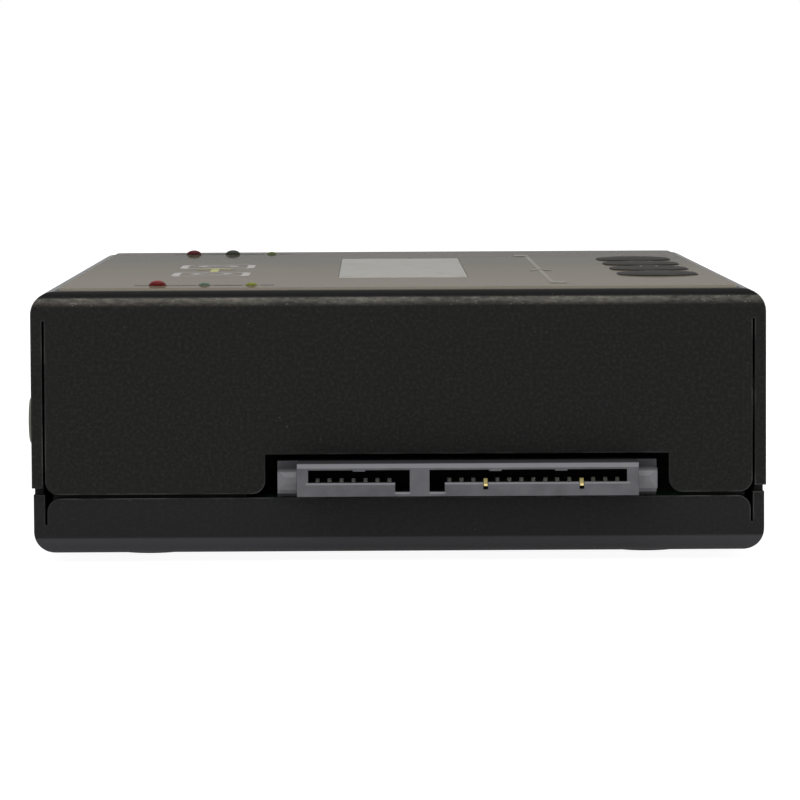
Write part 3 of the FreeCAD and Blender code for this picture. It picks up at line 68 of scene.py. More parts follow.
ahead = Vector(
    (
        math.sin(LOOK_RIGHT) * math.cos(LOOK_DOWN),
        math.cos(LOOK_RIGHT) * math.cos(LOOK_DOWN),
        -math.sin(LOOK_DOWN),
    )
)
level_right = Vector((math.cos(LOOK_RIGHT), -math.sin(LOOK_RIGHT), 0))
level_up = level_right.cross(ahead)
right = math.cos(CAMERA_ROLL) * level_right + math.sin(CAMERA_ROLL) * level_up
up = math.cos(CAMERA_ROLL) * level_up - math.sin(CAMERA_ROLL) * level_right

camera_data = bpy.data.cameras.new("camera")
camera_data.lens = LENS
camera_data.clip_start = 10 * mm
camera_data.clip_end = 100
camera = bpy.data.objects.new("camera", camera_data)
camera.matrix_world = Matrix.Translation(CAMERA_PLACE) @ Matrix((right, up, -ahead)).transposed().to_4x4()
bpy.context.scene.collection.objects.link(camera)
bpy.context.scene.camera = camera
print("camera is", round(CAMERA_PLACE.length / mm), "mm from the middle of the base")

# %% [markdown]
# ## Node helpers
# A material is a small graph. Sums in it could be typed as chains of Math nodes, which are hard to read. Here
# a socket is wrapped in a class that knows the plain signs, so that `1 - mask * 0.5` adds the Math nodes
# itself. Every other node comes from one method, which takes the settings first and then the sockets' values
# or links.


# %% Values and finishes
class Value:
    """An output socket. Signs between values, or a value and a number, add the Math node for that sign."""

    def __init__(self, finish, socket):
        self.finish = finish
        self.socket = socket

    def math(self, operation, first, second):
        return self.finish.node("Math", {"operation": operation}, {0: first, 1: second})["Value"]

    def __add__(self, other):
        return self.math("ADD", self, other)

    __radd__ = __add__

    def __sub__(self, other):
        return self.math("SUBTRACT", self, other)

    def __rsub__(self, other):
        return self.math("SUBTRACT", other, self)

    def __mul__(self, other):
        return self.math("MULTIPLY", self, other)

    __rmul__ = __mul__


def find(sockets, name):
    """A live socket by its name, or by its place where names repeat."""
    if isinstance(name, int):
        return sockets[name]
    return next(socket for socket in sockets if socket.enabled and socket.name == name)


class Graph:
    """A node tree, and the one method that adds nodes to it."""

    def __init__(self, tree):
        self.tree = tree

    def node(self, kind, settings=None, inputs=None):
        """Adds a node of that kind and gives its live outputs by name."""
        made = self.tree.nodes.new("ShaderNode" + kind)
        for name, setting in (settings or {}).items():
            setattr(made, name, setting)
        for name, given in (inputs or {}).items():
            socket = find(made.inputs, name)
            if isinstance(given, Value):
                self.link(given, socket)
            else:
                socket.default_value = given
        return {socket.name: Value(self, socket) for socket in made.outputs if socket.enabled}

    def link(self, given, socket):
        """Joins an output to a socket."""
        self.tree.links.new(given.socket, socket)


class Finish(Graph):
    """One material: a node tree, its main shader, and places on the piece in millimetres."""

    def __init__(self, name, **constants):
        self.material = bpy.data.materials.new(name)
        self.material.use_nodes = True
        super().__init__(self.material.node_tree)
        self.shader = self.tree.nodes["Principled BSDF"]
        for socket, constant in constants.items():
            title = socket.replace("_", " ").title().replace("Ior", "IOR")
            self.shader.inputs[title].default_value = constant
        scale = {"Vector": self.node("TexCoord")["Object"], "Scale": 1 / mm}
        self.place = self.node("VectorMath", {"operation": "SCALE"}, scale)["Vector"]

    def axes(self):
        """The place's x, y and z in millimetres, as three values."""
        parts = self.node("SeparateXYZ", None, {"Vector": self.place})
        return parts["X"], parts["Y"], parts["Z"]

    def size_of(self, given):
        """The value without its sign."""
        return self.node("Math", {"operation": "ABSOLUTE"}, {0: given})["Value"]

    def band(self, given, low, high, soft):
        """1 between low and high, falling smoothly to 0 over that softness on each side."""
        return self.spread(given, low - soft, low + soft) * (1 - self.spread(given, high - soft, high + soft))

    def near_edge_mask(self, reach, low, high):
        """1 near sharp edges: 1 minus the cosine between the true normal and one rounded over that reach."""
        rounded = self.node("Bevel", {"samples": 4}, {"Radius": reach * mm})["Normal"]
        straight = self.node("NewGeometry")["Normal"]
        turn = self.node("VectorMath", {"operation": "DOT_PRODUCT"}, {0: rounded, 1: straight})["Value"]
        return self.spread(1 - turn, low, high)

    def feed(self, socket, given):
        """Links a varying value to one socket of the main shader."""
        self.link(given, self.shader.inputs[socket])

    def noise(self, per_mm, detail=2.0, roughness=0.5, stretch=(1, 1, 1)):
        """Soft noise from 0 to 1, with a grain of about 1 / per_mm."""
        place = self.node("VectorMath", {"operation": "MULTIPLY"}, {0: self.place, 1: stretch})["Vector"]
        sizes = {"Vector": place, "Scale": per_mm, "Detail": detail, "Roughness": roughness}
        return self.node("TexNoise", None, sizes)["Fac"]

    def dots(self, per_mm, radius):
        """1 inside round dots scattered at per_mm, 0 outside."""
        away = self.node("TexVoronoi", None, {"Vector": self.place, "Scale": per_mm})["Distance"]
        return self.spread(away, radius, radius * 0.5)

    def spread(self, given, low, high):
        """Maps low..high to 0..1 and holds it there outside, by a smooth step."""
        ends = {"Value": given, "From Min": low, "From Max": high}
        return self.node("MapRange", {"interpolation_type": "SMOOTHSTEP"}, ends)["Result"]

    def blend(self, factor, first, second):
        """A colour that goes from first to second as factor goes from 0 to 1."""
        ends = {"Factor": factor, "A": first, "B": second}
        return self.node("Mix", {"data_type": "RGBA"}, ends)["Result"]

    def relief(self, height, depth, edge_round=0.0):
        """Bumps of that depth in millimetres for a height of 0 to 1, over edges that look rounded."""
        shape = {"Height": height, "Distance": depth * mm, "Strength": 1.0}
        if edge_round:
            shape["Normal"] = self.node("Bevel", {"samples": 4}, {"Radius": edge_round * mm})["Normal"]
        self.feed("Normal", self.node("Bump", None, shape)["Normal"])


def tone(red, green, blue):
    """Linear colour of a display colour in 0..255: ((c + 0.055) / 1.055) ^ 2.4, or c / 12.92 near black."""
    shares = np.array([red, green, blue]) / 255
    linear = np.where(shares > 0.04045, ((shares + 0.055) / 1.055) ** 2.4, shares / 12.92)
    return (*linear.tolist(), 1.0)


print("a display grey of 128 is", round(tone(128, 128, 128)[0], 3), "in linear light")

# %% [markdown]
# ## Surfaces worked out with numpy
# A rounded key, a lamp and a seam strip are all one idea: a ring of points carried along a profile. A ring
# could be a circle or a long oval, and the profile says how wide it is at each height. The whole grid of
# points is worked out as one array, and the faces join each ring to the next.


# %% Surface helpers
SHARP_ANGLE = math.radians(40)


def skin_of_rings(name, rings, finish, closed=False):
    """Closed skin through rings[k, j]. Four neighbours make a face: (k, j), (k, j + 1), (k + 1, j + 1) and
    (k + 1, j), with j taken round. A closed profile takes k round as well, and makes a collar. Otherwise the
    first and the last ring are closed by a fan to their mean point."""
    count, around = rings.shape[:2]
    here = np.arange(count * around).reshape(count, around)
    ahead = np.roll(here, -1, axis=1)
    if closed:
        collar = np.stack([here, ahead, np.roll(ahead, -1, axis=0), np.roll(here, -1, axis=0)], axis=-1)
        return put_mesh(name, rings.reshape(-1, 3), collar.reshape(-1, 4).tolist(), finish)
    sides = np.stack([here[:-1], ahead[:-1], ahead[1:], here[1:]], axis=-1).reshape(-1, 4)
    low_middle = np.full(around, count * around)
    low_fan = np.stack([low_middle, ahead[0], here[0]], axis=-1)
    high_fan = np.stack([low_middle + 1, here[-1], ahead[-1]], axis=-1)
    middles = np.stack([rings[0].mean(axis=0), rings[-1].mean(axis=0)])
    points = np.concatenate([rings.reshape(-1, 3), middles])
    return put_mesh(name, points, sides.tolist() + low_fan.tolist() + high_fan.tolist(), finish)


def put_mesh(name, points, faces, finish):
    """A smooth mesh at the origin with one finish. Points are in millimetres."""
    mesh = bpy.data.meshes.new(name)
    mesh.from_pydata((np.asarray(points) * mm).tolist(), [], faces)
    mesh.materials.append(finish.material)
    mesh.shade_smooth()
    mesh.set_sharp_from_angle(angle=SHARP_ANGLE)
    piece = bpy.data.objects.new(name, mesh)
    bpy.context.scene.collection.objects.link(piece)
    return piece


def oval_rings(profile, centre, around):
    """Rings of a long oval: x = r cos a, y = r sin a + s sign(sin a), for each (r, s, z) of the profile."""
    angles = (np.arange(around) + 0.5) * 2 * np.pi / around
    radius, straight, height = (np.asarray(profile)[:, i, None] for i in range(3))
    x = centre[0] + radius * np.cos(angles)
    y = centre[1] + radius * np.sin(angles) + straight * np.sign(np.sin(angles))
    return np.stack([x, y, height + 0 * angles], axis=-1)


def box_mm(node):
    """Lowest and highest corner of a CAD node in millimetres."""
    low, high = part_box(node)
    return np.array(low) / mm, np.array(high) / mm


print("edges that turn by more than", round(math.degrees(SHARP_ANGLE)), "degrees stay crisp")

# %% [markdown]
# ## Studio
# The box stands on a pale floor in soft, plain light. A strong lamp would make black paint look grey, so the
# light is even and just strong enough for a colour to show as it is written. Only rays that look at the
# background, directly or in a reflection, see the world as white. The floor is part white glow for those
# rays, which hides its far edge and keeps the soft shadow under the box.

# %% Studio
FLOOR_SIZE = 12000.0
WORLD_LEVEL = 0.55
GLOW_LEVEL = 1.3
GLOW_SHARE = 0.72
WHITE = (1, 1, 1, 1)
FLOOR_GREY = (0.8, 0.8, 0.8, 1)
# Each lamp's name, place and size in millimetres, and power in watts.
LAMPS = (
    ("lamp_front_left", (-700, -900, 1000), 1000, 5.0),
    ("lamp_top", (100, 60, 1300), 700, 9.0),
    ("lamp_right", (1100, -300, 500), 800, 2.5),
)


def background_rays(graph):
    """1 for rays that look at the background from the camera, a reflection or a clear part, else 0."""
    path = graph.node("LightPath")
    seen = path["Is Camera Ray"]
    for kind in ("Is Glossy Ray", "Is Transmission Ray"):
        seen = graph.node("Math", {"operation": "MAXIMUM"}, {0: seen, 1: path[kind]})["Value"]
    return seen


bpy.context.scene.view_settings.view_transform = "Standard"
world = bpy.data.worlds.new("studio")
world.use_nodes = True
bpy.context.scene.world = world
room = Graph(world.node_tree)
sky = world.node_tree.nodes["Background"]
sky.inputs["Color"].default_value = WHITE
ends = {"Value": background_rays(room), "To Min": WORLD_LEVEL, "To Max": 1.0}
room.link(room.node("MapRange", None, ends)["Result"], sky.inputs["Strength"])

for name, place, size, power in LAMPS:
    data = bpy.data.lights.new(name, "AREA")
    data.size = size * mm
    data.energy = power
    lamp = bpy.data.objects.new(name, data)
    lamp.location = Vector(place) * mm
    lamp.rotation_euler = (-lamp.location).to_track_quat("-Z", "Y").to_euler()
    bpy.context.scene.collection.objects.link(lamp)

floor_finish = Finish("pale_floor")
matt = floor_finish.node("BsdfDiffuse", None, {"Color": FLOOR_GREY})["BSDF"]
bright = floor_finish.node("BsdfDiffuse", None, {"Color": WHITE})["BSDF"]
glow = floor_finish.node("Emission", None, {"Color": WHITE, "Strength": GLOW_LEVEL})["Emission"]
shown = floor_finish.node("MixShader", None, {"Fac": GLOW_SHARE, 1: bright, 2: glow})["Shader"]
parts = {"Fac": background_rays(floor_finish), 1: matt, 2: shown}
by_ray = floor_finish.node("MixShader", None, parts)["Shader"]
floor_finish.link(by_ray, floor_finish.tree.nodes["Material Output"].inputs["Surface"])

half = FLOOR_SIZE / 2
floor_corners = [(-half, -half, 0), (half, -half, 0), (half, half, 0), (-half, half, 0)]
floor = put_mesh("floor", floor_corners, [(0, 1, 2, 3)], floor_finish)
print("studio has", len(LAMPS), "lamps and a floor of", round(FLOOR_SIZE * mm), "m")

# %% [markdown]
# ## Powder coat
# The case is steel sprayed with black powder and baked. Up close the skin is a fine orange peel with small
# nubs, and here and there a grain stands out and catches the light. An even black would look like plastic, so
# two sizes of noise make the peel, and scattered pale dots paint the glints of the grains. A painted
# highlight runs along the top bend of the front and back, broken up by scuffs and by more painted glints.
# Painted shade darkens the flat strip above it, and a painted sheen lies along the lower bend. The sharp
# edges are paler, partly from rubbed wear and partly from a painted highlight. The bends are found by the
# distance from the case's own box.

# %% Powder coat
CASE_BLACK = tone(17, 17, 16)
CASE_WORN = tone(31, 31, 30)
SHADE_ABOVE_BEND = tone(7, 7, 7)
BEND_LIGHT = tone(112, 108, 101)
PAN_BLACK = tone(30, 30, 32)
LOW_BEND_SHEEN = tone(58, 58, 60)
EDGE_LIGHT = tone(92, 92, 91)
GRAIN_LIGHT = tone(150, 146, 136)
# Bands run from one distance to another, down from the lid or up from the base, in millimetres.
TOP_BEND = (0.68, 1.12)
LOW_BEND = (0.2, 1.65)
SIDE_BEND = 2.6
END_BEND = 1.5
PAN_TOP = (5.0, 6.2)
PEEL_PER_MM = 2.6
NUBS_PER_MM = 6.5
PEEL_DEPTH = 0.05
HANDLING_PER_MM = 0.07
SCUFFS_PER_MM = 0.9
GRAIN_GLINTS = {"per_mm": 1.3, "radius": 0.1}
BEND_GLINTS = {"per_mm": 2.6, "radius": 0.19}
EDGE_REACH = 0.28
EDGE_ROUND = 0.18
COAT_ROUGHNESS = 0.66

case_low = box_mm("bottom_pan")[0]
case_high = box_mm("top_cover")[1]


def powder_coat(name):
    """Black textured powder coat: peel, nubs, painted glints of grains that gather where the sheet is bent,
    painted highlight, shade and sheen along the bends, and edges pale from wear and a painted highlight.
    """
    coat = Finish(name, specular_ior_level=0.13)
    x, y, z = coat.axes()
    drop = case_high[2] - z
    rise = z - case_low[2]
    bend_start, bend_end = TOP_BEND
    end_start = case_high[1] - END_BEND
    side_start = case_high[0] - SIDE_BEND
    on_end = coat.spread(coat.size_of(y), end_start - 0.2, end_start + 0.2)
    on_side = coat.spread(coat.size_of(x), side_start, side_start + 0.3)

    peel = coat.noise(PEEL_PER_MM, detail=3.0, roughness=0.6)
    nubs = coat.noise(NUBS_PER_MM, detail=1.0)
    handled = coat.spread(coat.noise(HANDLING_PER_MM), 0.42, 0.68)
    streaks = coat.noise(SCUFFS_PER_MM, detail=4.0, roughness=0.7, stretch=(1, 1, 3))
    scuffs = coat.spread(streaks, 0.32, 0.72)

    # Painted shade: the flat strip of the front and back just above the top bend is darkened.
    shade_above_bend = on_end * (1 - coat.spread(drop, bend_start - 0.2, bend_start))
    below_start = 1 - coat.spread(drop, bend_end - 0.2, bend_end + 0.6)
    # Painted highlight: the top bend of the front and back is paler where light would catch it, broken up by
    # scuffs and patches.
    in_band = coat.spread(drop, bend_start - 0.06, bend_start + 0.1) * below_start
    bend_highlight_and_scuffs = in_band * (0.2 + 0.5 * scuffs + 0.3 * handled)
    # Painted sheen: a paler band along the lower bend of the front and back.
    low_bend_sheen = coat.band(rise, *LOW_BEND, 0.15) * on_end
    # Painted glints: sparse pale dots for grains that catch the light, and more of them gathered on the top
    # bend.
    grains = coat.dots(**GRAIN_GLINTS) * coat.spread(coat.noise(0.3), 0.5, 0.62)
    gathered = coat.band(drop, bend_start, bend_end + 0.4, 0.1) * coat.spread(scuffs, 0.3, 0.6)
    bend_glints = coat.dots(**BEND_GLINTS) * gathered
    patches = 0.2 + 0.8 * coat.spread(coat.noise(0.25), 0.4, 0.6)
    # Pale edges: partly rubbed wear, partly a painted highlight where the edges would catch the light.
    rubbed_and_lit_edges = coat.near_edge_mask(EDGE_REACH, 0.02, 0.2) * patches

    shade = coat.blend(coat.spread(peel, 0.4, 0.75), CASE_BLACK, CASE_WORN)
    shade = coat.blend(0.5 - 0.5 * coat.spread(rise, *PAN_TOP), shade, PAN_BLACK)
    shade = coat.blend(shade_above_bend, shade, SHADE_ABOVE_BEND)
    shade = coat.blend(bend_highlight_and_scuffs, shade, BEND_LIGHT)
    shade = coat.blend(low_bend_sheen, shade, LOW_BEND_SHEEN)
    shade = coat.blend(rubbed_and_lit_edges * 0.8, shade, EDGE_LIGHT)
    shade = coat.blend(grains * 0.35 * handled, shade, GRAIN_LIGHT)
    coat.feed("Base Color", coat.blend(bend_glints * 0.7, shade, GRAIN_LIGHT))
    smoother = 0.22 * on_side * (1 - on_end)
    coat.feed("Roughness", COAT_ROUGHNESS - 0.15 * peel + 0.25 * shade_above_bend - smoother)
    coat.relief(peel * 0.7 + nubs * 0.3, PEEL_DEPTH, EDGE_ROUND)
    return coat


print("coat for a case of", (case_high - case_low).round(1), "mm")

# %% [markdown]
# ## Film
# The lid carries a printed polyester film. Its print lies underneath and is dull, and the face over it has a
# thin gloss that mirrors the lamps and the keys at a low angle. One even colour would look like paint, so the
# print drifts a little, as thin ink does, and the cut edge is pale. A painted shade darkens it towards the
# back.

# %% Film
FILM_FRONT = tone(76, 67, 51)
FILM_BACK_SHADE = tone(36, 32, 16)
FILM_EDGE = tone(166, 158, 142)
FILM_DRIFT = tone(86, 77, 66)
FILM_GLOSS = {"coat_weight": 0.17, "coat_roughness": 0.05}
FILM_ROUGHNESS = 0.77
DRIFT_PER_MM = 0.05
EMBOSS_PER_MM = 9.0
EMBOSS_DEPTH = 0.004
CUT_EDGE = (0.005, 0.02)


def printed_film(name):
    """Printed film: painted shade darker towards the back, a slow drift of tone, a pale cut edge and a very
    fine emboss.
    """
    film = Finish(name, specular_ior_level=0.05, **FILM_GLOSS)
    _, y, z = film.axes()
    low, high = box_mm("panel_film")
    # Painted shade: the film darkens from its front edge to its back edge.
    back = film.spread(y, low[1], high[1])
    drift = film.spread(film.noise(DRIFT_PER_MM), 0.4, 0.7)
    emboss = film.noise(EMBOSS_PER_MM, detail=1.0)
    shade = film.blend(back, FILM_FRONT, FILM_BACK_SHADE)
    shade = film.blend(drift * 0.12, shade, FILM_DRIFT)
    cut = film.spread(high[2] - z, *CUT_EDGE)
    film.feed("Base Color", film.blend(cut, shade, FILM_EDGE))
    film.feed("Roughness", FILM_ROUGHNESS + 0.06 * emboss + 0.05 * back)
    film.relief(emboss, EMBOSS_DEPTH)
    return film


def printed_ink(name, colour):
    """Screen-printed ink with slightly uneven cover, under the same gloss as the film's."""
    ink = Finish(name, roughness=0.8, specular_ior_level=0.05, **FILM_GLOSS)
    cover = ink.spread(ink.noise(1.5, detail=3.0), 0.3, 0.7)
    thin = [share * 0.86 for share in colour]
    ink.feed("Base Color", ink.blend(cover, tone(*thin), tone(*colour)))
    return ink


film_low, film_high = box_mm("panel_film")
print("film measures", (film_high - film_low).round(2), "mm")

# %% [markdown]
# ## Lens and display
# Under the window sits a clear lens, and under that the pale cell of the display, with its two rows of
# sixteen empty characters just visible. Plain transparency would show a black hole, because the cell is
# unlit, so the lens keeps a faint smoke of its own. A brick pattern without its usual offset draws the frames
# of the characters, at the pitch of a common module.

# %% Lens and display
LENS_GREY = tone(130, 127, 120)
CELL_GREY = tone(153, 153, 141)
CELL_DARK = tone(143, 145, 137)
CHARACTER_PITCH = (4.84, 3.55)
CHARACTER_GAP = 0.25


def clear_lens(name):
    """Thin smoky acrylic over a pale cell, with faint wipe marks in its gloss."""
    lens = Finish(name, alpha=0.8, specular_ior_level=0.2)
    wipes = lens.spread(lens.noise(0.5, stretch=(1, 0.2, 1)), 0.4, 0.8)
    lens.feed("Base Color", lens.blend(wipes * 0.15, LENS_GREY, CELL_GREY))
    lens.feed("Roughness", wipes * 0.06 + 0.4)
    return lens


def display_cell(name):
    """Pale cell with the faint frames of its characters: brick rows without an offset."""
    cell = Finish(name, roughness=0.35)
    bricks = {
        "Vector": cell.place,
        "Scale": 1.0,
        "Mortar Size": CHARACTER_GAP,
        "Mortar Smooth": 0.3,
        "Brick Width": CHARACTER_PITCH[0],
        "Row Height": CHARACTER_PITCH[1],
        "Color1": CELL_DARK,
        "Color2": CELL_DARK,
        "Mortar": CELL_GREY,
    }
    frames = cell.node("TexBrick", {"offset": 0.0, "squash": 1.0}, bricks)["Color"]
    cell.feed("Base Color", cell.blend(cell.noise(0.2) * 0.2, frames, CELL_GREY))
    return cell


print("characters repeat every", CHARACTER_PITCH, "mm")

# %% [markdown]
# ## Moulded, metal and fired parts
# Most small parts share a few kinds of skin: moulded plastic with a fine spark-etched grain, plated or turned
# metal with faint lines, and fired or cast blocks. Each kind is one function with its own colours, so that a
# row of the table below is enough to describe a part. The boards are green solder mask over raised tracks.

# %% Moulded, metal and fired parts
METAL_LINES_PER_MM = 1.2
METAL_LINES_DEPTH = 0.004
TRACK_PITCH = 1.27
TRACK_LENGTH = 3.2
TRACK_GAP = 0.18
TRACK_HEIGHT = 0.03
VIAS = {"per_mm": 0.45, "radius": 0.16}
MASK_GREEN = tone(10, 70, 42)
TRACK_GREEN = tone(26, 104, 62)
VIA_TIN = tone(120, 112, 76)


def moulded(name, dark, pale, roughness, grain_per_mm=5.0, depth=0.01, level=0.5):
    """Moulded plastic: a soft drift between two tones, and a fine even grain."""
    plastic = Finish(name, specular_ior_level=level)
    drift = plastic.noise(0.25, detail=3.0)
    grain = plastic.noise(grain_per_mm, detail=1.0)
    shade = plastic.blend(plastic.spread(drift, 0.3, 0.7), tone(*dark), tone(*pale))
    plastic.feed("Base Color", shade)
    plastic.feed("Roughness", roughness + 0.12 * (grain - 0.5))
    plastic.relief(grain, depth)
    return plastic


def metal(name, dark, pale, roughness, lines=(1, 1, 12)):
    """Plated metal: stretched noise gives the faint lines of rolling, drawing or turning."""
    plated = Finish(name, metallic=1.0)
    mark = plated.noise(METAL_LINES_PER_MM, detail=3.0, stretch=lines)
    plated.feed("Base Color", plated.blend(mark, tone(*dark), tone(*pale)))
    plated.feed("Roughness", roughness + 0.2 * (mark - 0.5))
    plated.relief(mark, METAL_LINES_DEPTH)
    return plated


def solder_mask(name):
    """Green board: raised tracks run under the mask as the joints of a coarse brick bond, with small vias."""
    board = Finish(name, roughness=0.5, specular_ior_level=0.3)
    bricks = {
        "Vector": board.place,
        "Scale": 1.0,
        "Mortar Size": TRACK_GAP,
        "Brick Width": TRACK_LENGTH,
        "Row Height": TRACK_PITCH,
    }
    joints = board.node("TexBrick", {"offset": 0.37}, bricks)["Fac"]
    tracks = joints * board.spread(board.noise(0.12), 0.45, 0.55)
    mask = board.blend(tracks, MASK_GREEN, TRACK_GREEN)
    board.feed("Base Color", board.blend(board.dots(**VIAS) * 0.6, mask, VIA_TIN))
    board.relief(tracks, TRACK_HEIGHT)
    return board


print("board tracks lie", TRACK_PITCH, "mm apart")

# %% [markdown]
# ## Sockets and their contacts
# The drive sockets are what the eye goes to: a grey nylon nose with a slot for the drive's edge plug. Where
# light catches its top rail, the lip of its tongue, the sill under its short legs and the guide posts, a
# painted highlight makes the nylon paler. Painted shade darkens its top and the tops of the posts, and
# painted shade makes the slots black. The places of these edges are measured down from the top of the
# housing's box and sideways from its middle. Of the gold contacts, only the first-mate tips reach the mouth
# and shine, painted as lit gold. The others stand in the shade, painted as a dull grey copy of the plate.

# %% Sockets and their contacts
SOCKET_HIGHLIGHT = tone(134, 134, 138)
SOCKET_GREYS = (tone(84, 84, 88), tone(98, 98, 102))
SOCKET_TOP_SHADE = tone(44, 44, 46)
SLOT_SHADE = tone(6, 6, 7)
SLOT_CEILING = 0.7
SLOT_FLOOR = 2.05
SLOT_LEG = 3.03
SLOT_REACH = 17.0
LEGS = (-7.7, -2.4)
MULLION = (-6.14, -4.06)
POST_START = 18.1
POST_TOP = (0.9, 1.1)
MOUTH = (0.9, 1.0)
GOLD_LIT = (tone(246, 220, 130), tone(255, 240, 176))
GOLD_SHADED = (tone(136, 134, 126), tone(166, 164, 156))

socket_low, socket_high = box_mm("front_socket_housing")


def socket_plastic(name):
    """Grey nylon: painted highlights on rails, lip, sills and posts; painted shade on top and deep in the
    slots.
    """
    plastic = Finish(name, specular_ior_level=0.2)
    x, y, z = plastic.axes()
    beside = x - (socket_low[0] + socket_high[0]) / 2
    deep = -socket_low[1] - plastic.size_of(y)
    drop = socket_high[2] - z
    face = 1 - plastic.spread(deep, 0.1, 0.3)
    drift = plastic.spread(plastic.noise(0.4, detail=3.0), 0.3, 0.7)
    grain = plastic.noise(4.0, detail=1.0)

    # Painted highlights: the top rail, the tongue's lip and the sills are paler where light catches them.
    rail = plastic.band(drop, 0.03, SLOT_CEILING - 0.2, 0.03)
    lip = plastic.band(drop, SLOT_FLOOR, SLOT_FLOOR + 0.2, 0.04)
    sill = plastic.band(drop, SLOT_LEG, SLOT_LEG + 0.22, 0.04) * plastic.band(beside, *LEGS, 0.1)
    ledges = (lip + sill) * (1 - plastic.band(beside, *MULLION, 0.05))
    in_slots = 1 - plastic.spread(plastic.size_of(beside), SLOT_REACH, SLOT_REACH + 0.2)
    slot_height = plastic.band(drop, SLOT_CEILING - 0.1, SLOT_LEG + 0.1, 0.05)
    # Painted shade: black deep in the slots.
    dark = plastic.spread(deep, 0.3, 0.6) * in_slots * slot_height
    posts = plastic.spread(plastic.size_of(beside), POST_START, POST_START + 0.1)
    post_top = 1 - plastic.spread(drop, *POST_TOP)

    shade = plastic.blend(drift, *SOCKET_GREYS)
    shade = plastic.blend(face * (rail + ledges * in_slots) * 0.8, shade, SOCKET_HIGHLIGHT)
    # Painted highlight on the posts' faces; painted shade on the posts' tops and on the housing's top.
    shade = plastic.blend(posts * (1 - post_top) * 0.5, shade, SOCKET_HIGHLIGHT)
    shade = plastic.blend(posts * post_top * 0.6, shade, SOCKET_TOP_SHADE)
    shade = plastic.blend(1 - plastic.spread(drop, 0.01, 0.03), shade, SOCKET_TOP_SHADE)
    plastic.feed("Base Color", plastic.blend(dark, shade, SLOT_SHADE))
    plastic.feed("Roughness", 0.55 + 0.12 * (grain - 0.5) + 0.3 * dark)
    plastic.relief(grain, 0.012, 0.12)
    return plastic


def gold_contact(name):
    """Gold plate: bright as lit gold on the long tips at the mouth; painted shade makes short ones a duller
    grey.
    """
    plate = Finish(name, roughness=0.35)
    _, y, _ = plate.axes()
    # Painted shade: the short contacts deep inside take a dull grey copy of the gold.
    short = plate.spread(-socket_low[1] - plate.size_of(y), *MOUTH)
    rub = plate.noise(1.2, detail=3.0, stretch=(1, 8, 1))
    bright = plate.blend(rub, *GOLD_LIT)
    dull = plate.blend(rub, *GOLD_SHADED)
    plate.feed("Base Color", plate.blend(short, bright, dull))
    plate.feed("Metallic", 0.4 - 0.2 * short)
    plate.relief(rub, METAL_LINES_DEPTH)
    return plate


print("socket nose measures", (socket_high - socket_low).round(2), "mm")

# %% [markdown]
# ## Lamp resin
# The indicator lamps are cast from tinted epoxy. Real clear resin would take many bounces of light to render
# and would still look dark without its chip lit, so a solid colour stands for it: dark at the rim, and paler
# in the middle with painted light, where a dome gathers the light. Each lamp has its own tint, and its middle
# comes from its box.

# %% Lamp resin
# Display colours at the rim and in the middle of each lamp; the paler middle is painted light.
LAMP_TINTS = {
    "lamp_front_1": ((84, 6, 8), (126, 12, 14)),
    "lamp_front_2": ((50, 70, 56), (72, 94, 78)),
    "lamp_front_3": ((84, 90, 16), (118, 124, 34)),
    "lamp_rear_1": ((62, 10, 14), (86, 18, 22)),
    "lamp_rear_2": ((40, 46, 38), (56, 62, 52)),
    "lamp_rear_3": ((54, 66, 22), (74, 88, 36)),
}
LAMP_RIM = 0.9
LAMP_HEART = 0.2


def clear_lamp(name, dark, pale, centre):
    """Tinted epoxy with painted light: paler in the middle of the dome, by the level distance from the lamp's
    axis.
    """
    lamp = Finish(name, roughness=0.5, specular_ior_level=0.08)
    offset = lamp.node("VectorMath", {"operation": "SUBTRACT"}, {0: lamp.place, 1: centre})["Vector"]
    flat = lamp.node("VectorMath", {"operation": "MULTIPLY"}, {0: offset, 1: (1, 1, 0)})["Vector"]
    away = lamp.node("VectorMath", {"operation": "LENGTH"}, {0: flat})["Value"]
    # Painted light: the dome's middle is paler.
    gathered = lamp.spread(away + lamp.noise(2.0) * 0.3, LAMP_RIM, LAMP_HEART)
    lamp.feed("Base Color", lamp.blend(gathered, tone(*dark), tone(*pale)))
    return lamp


print("tints for", len(LAMP_TINTS), "lamps")

# %% [markdown]
# ## Every part gets its finish
# The record of the CAD model groups its parts in material slots. A part could be painted by name, but a slot
# paints all parts of one stuff at once, so nothing is missed, and a repaint stays one line.

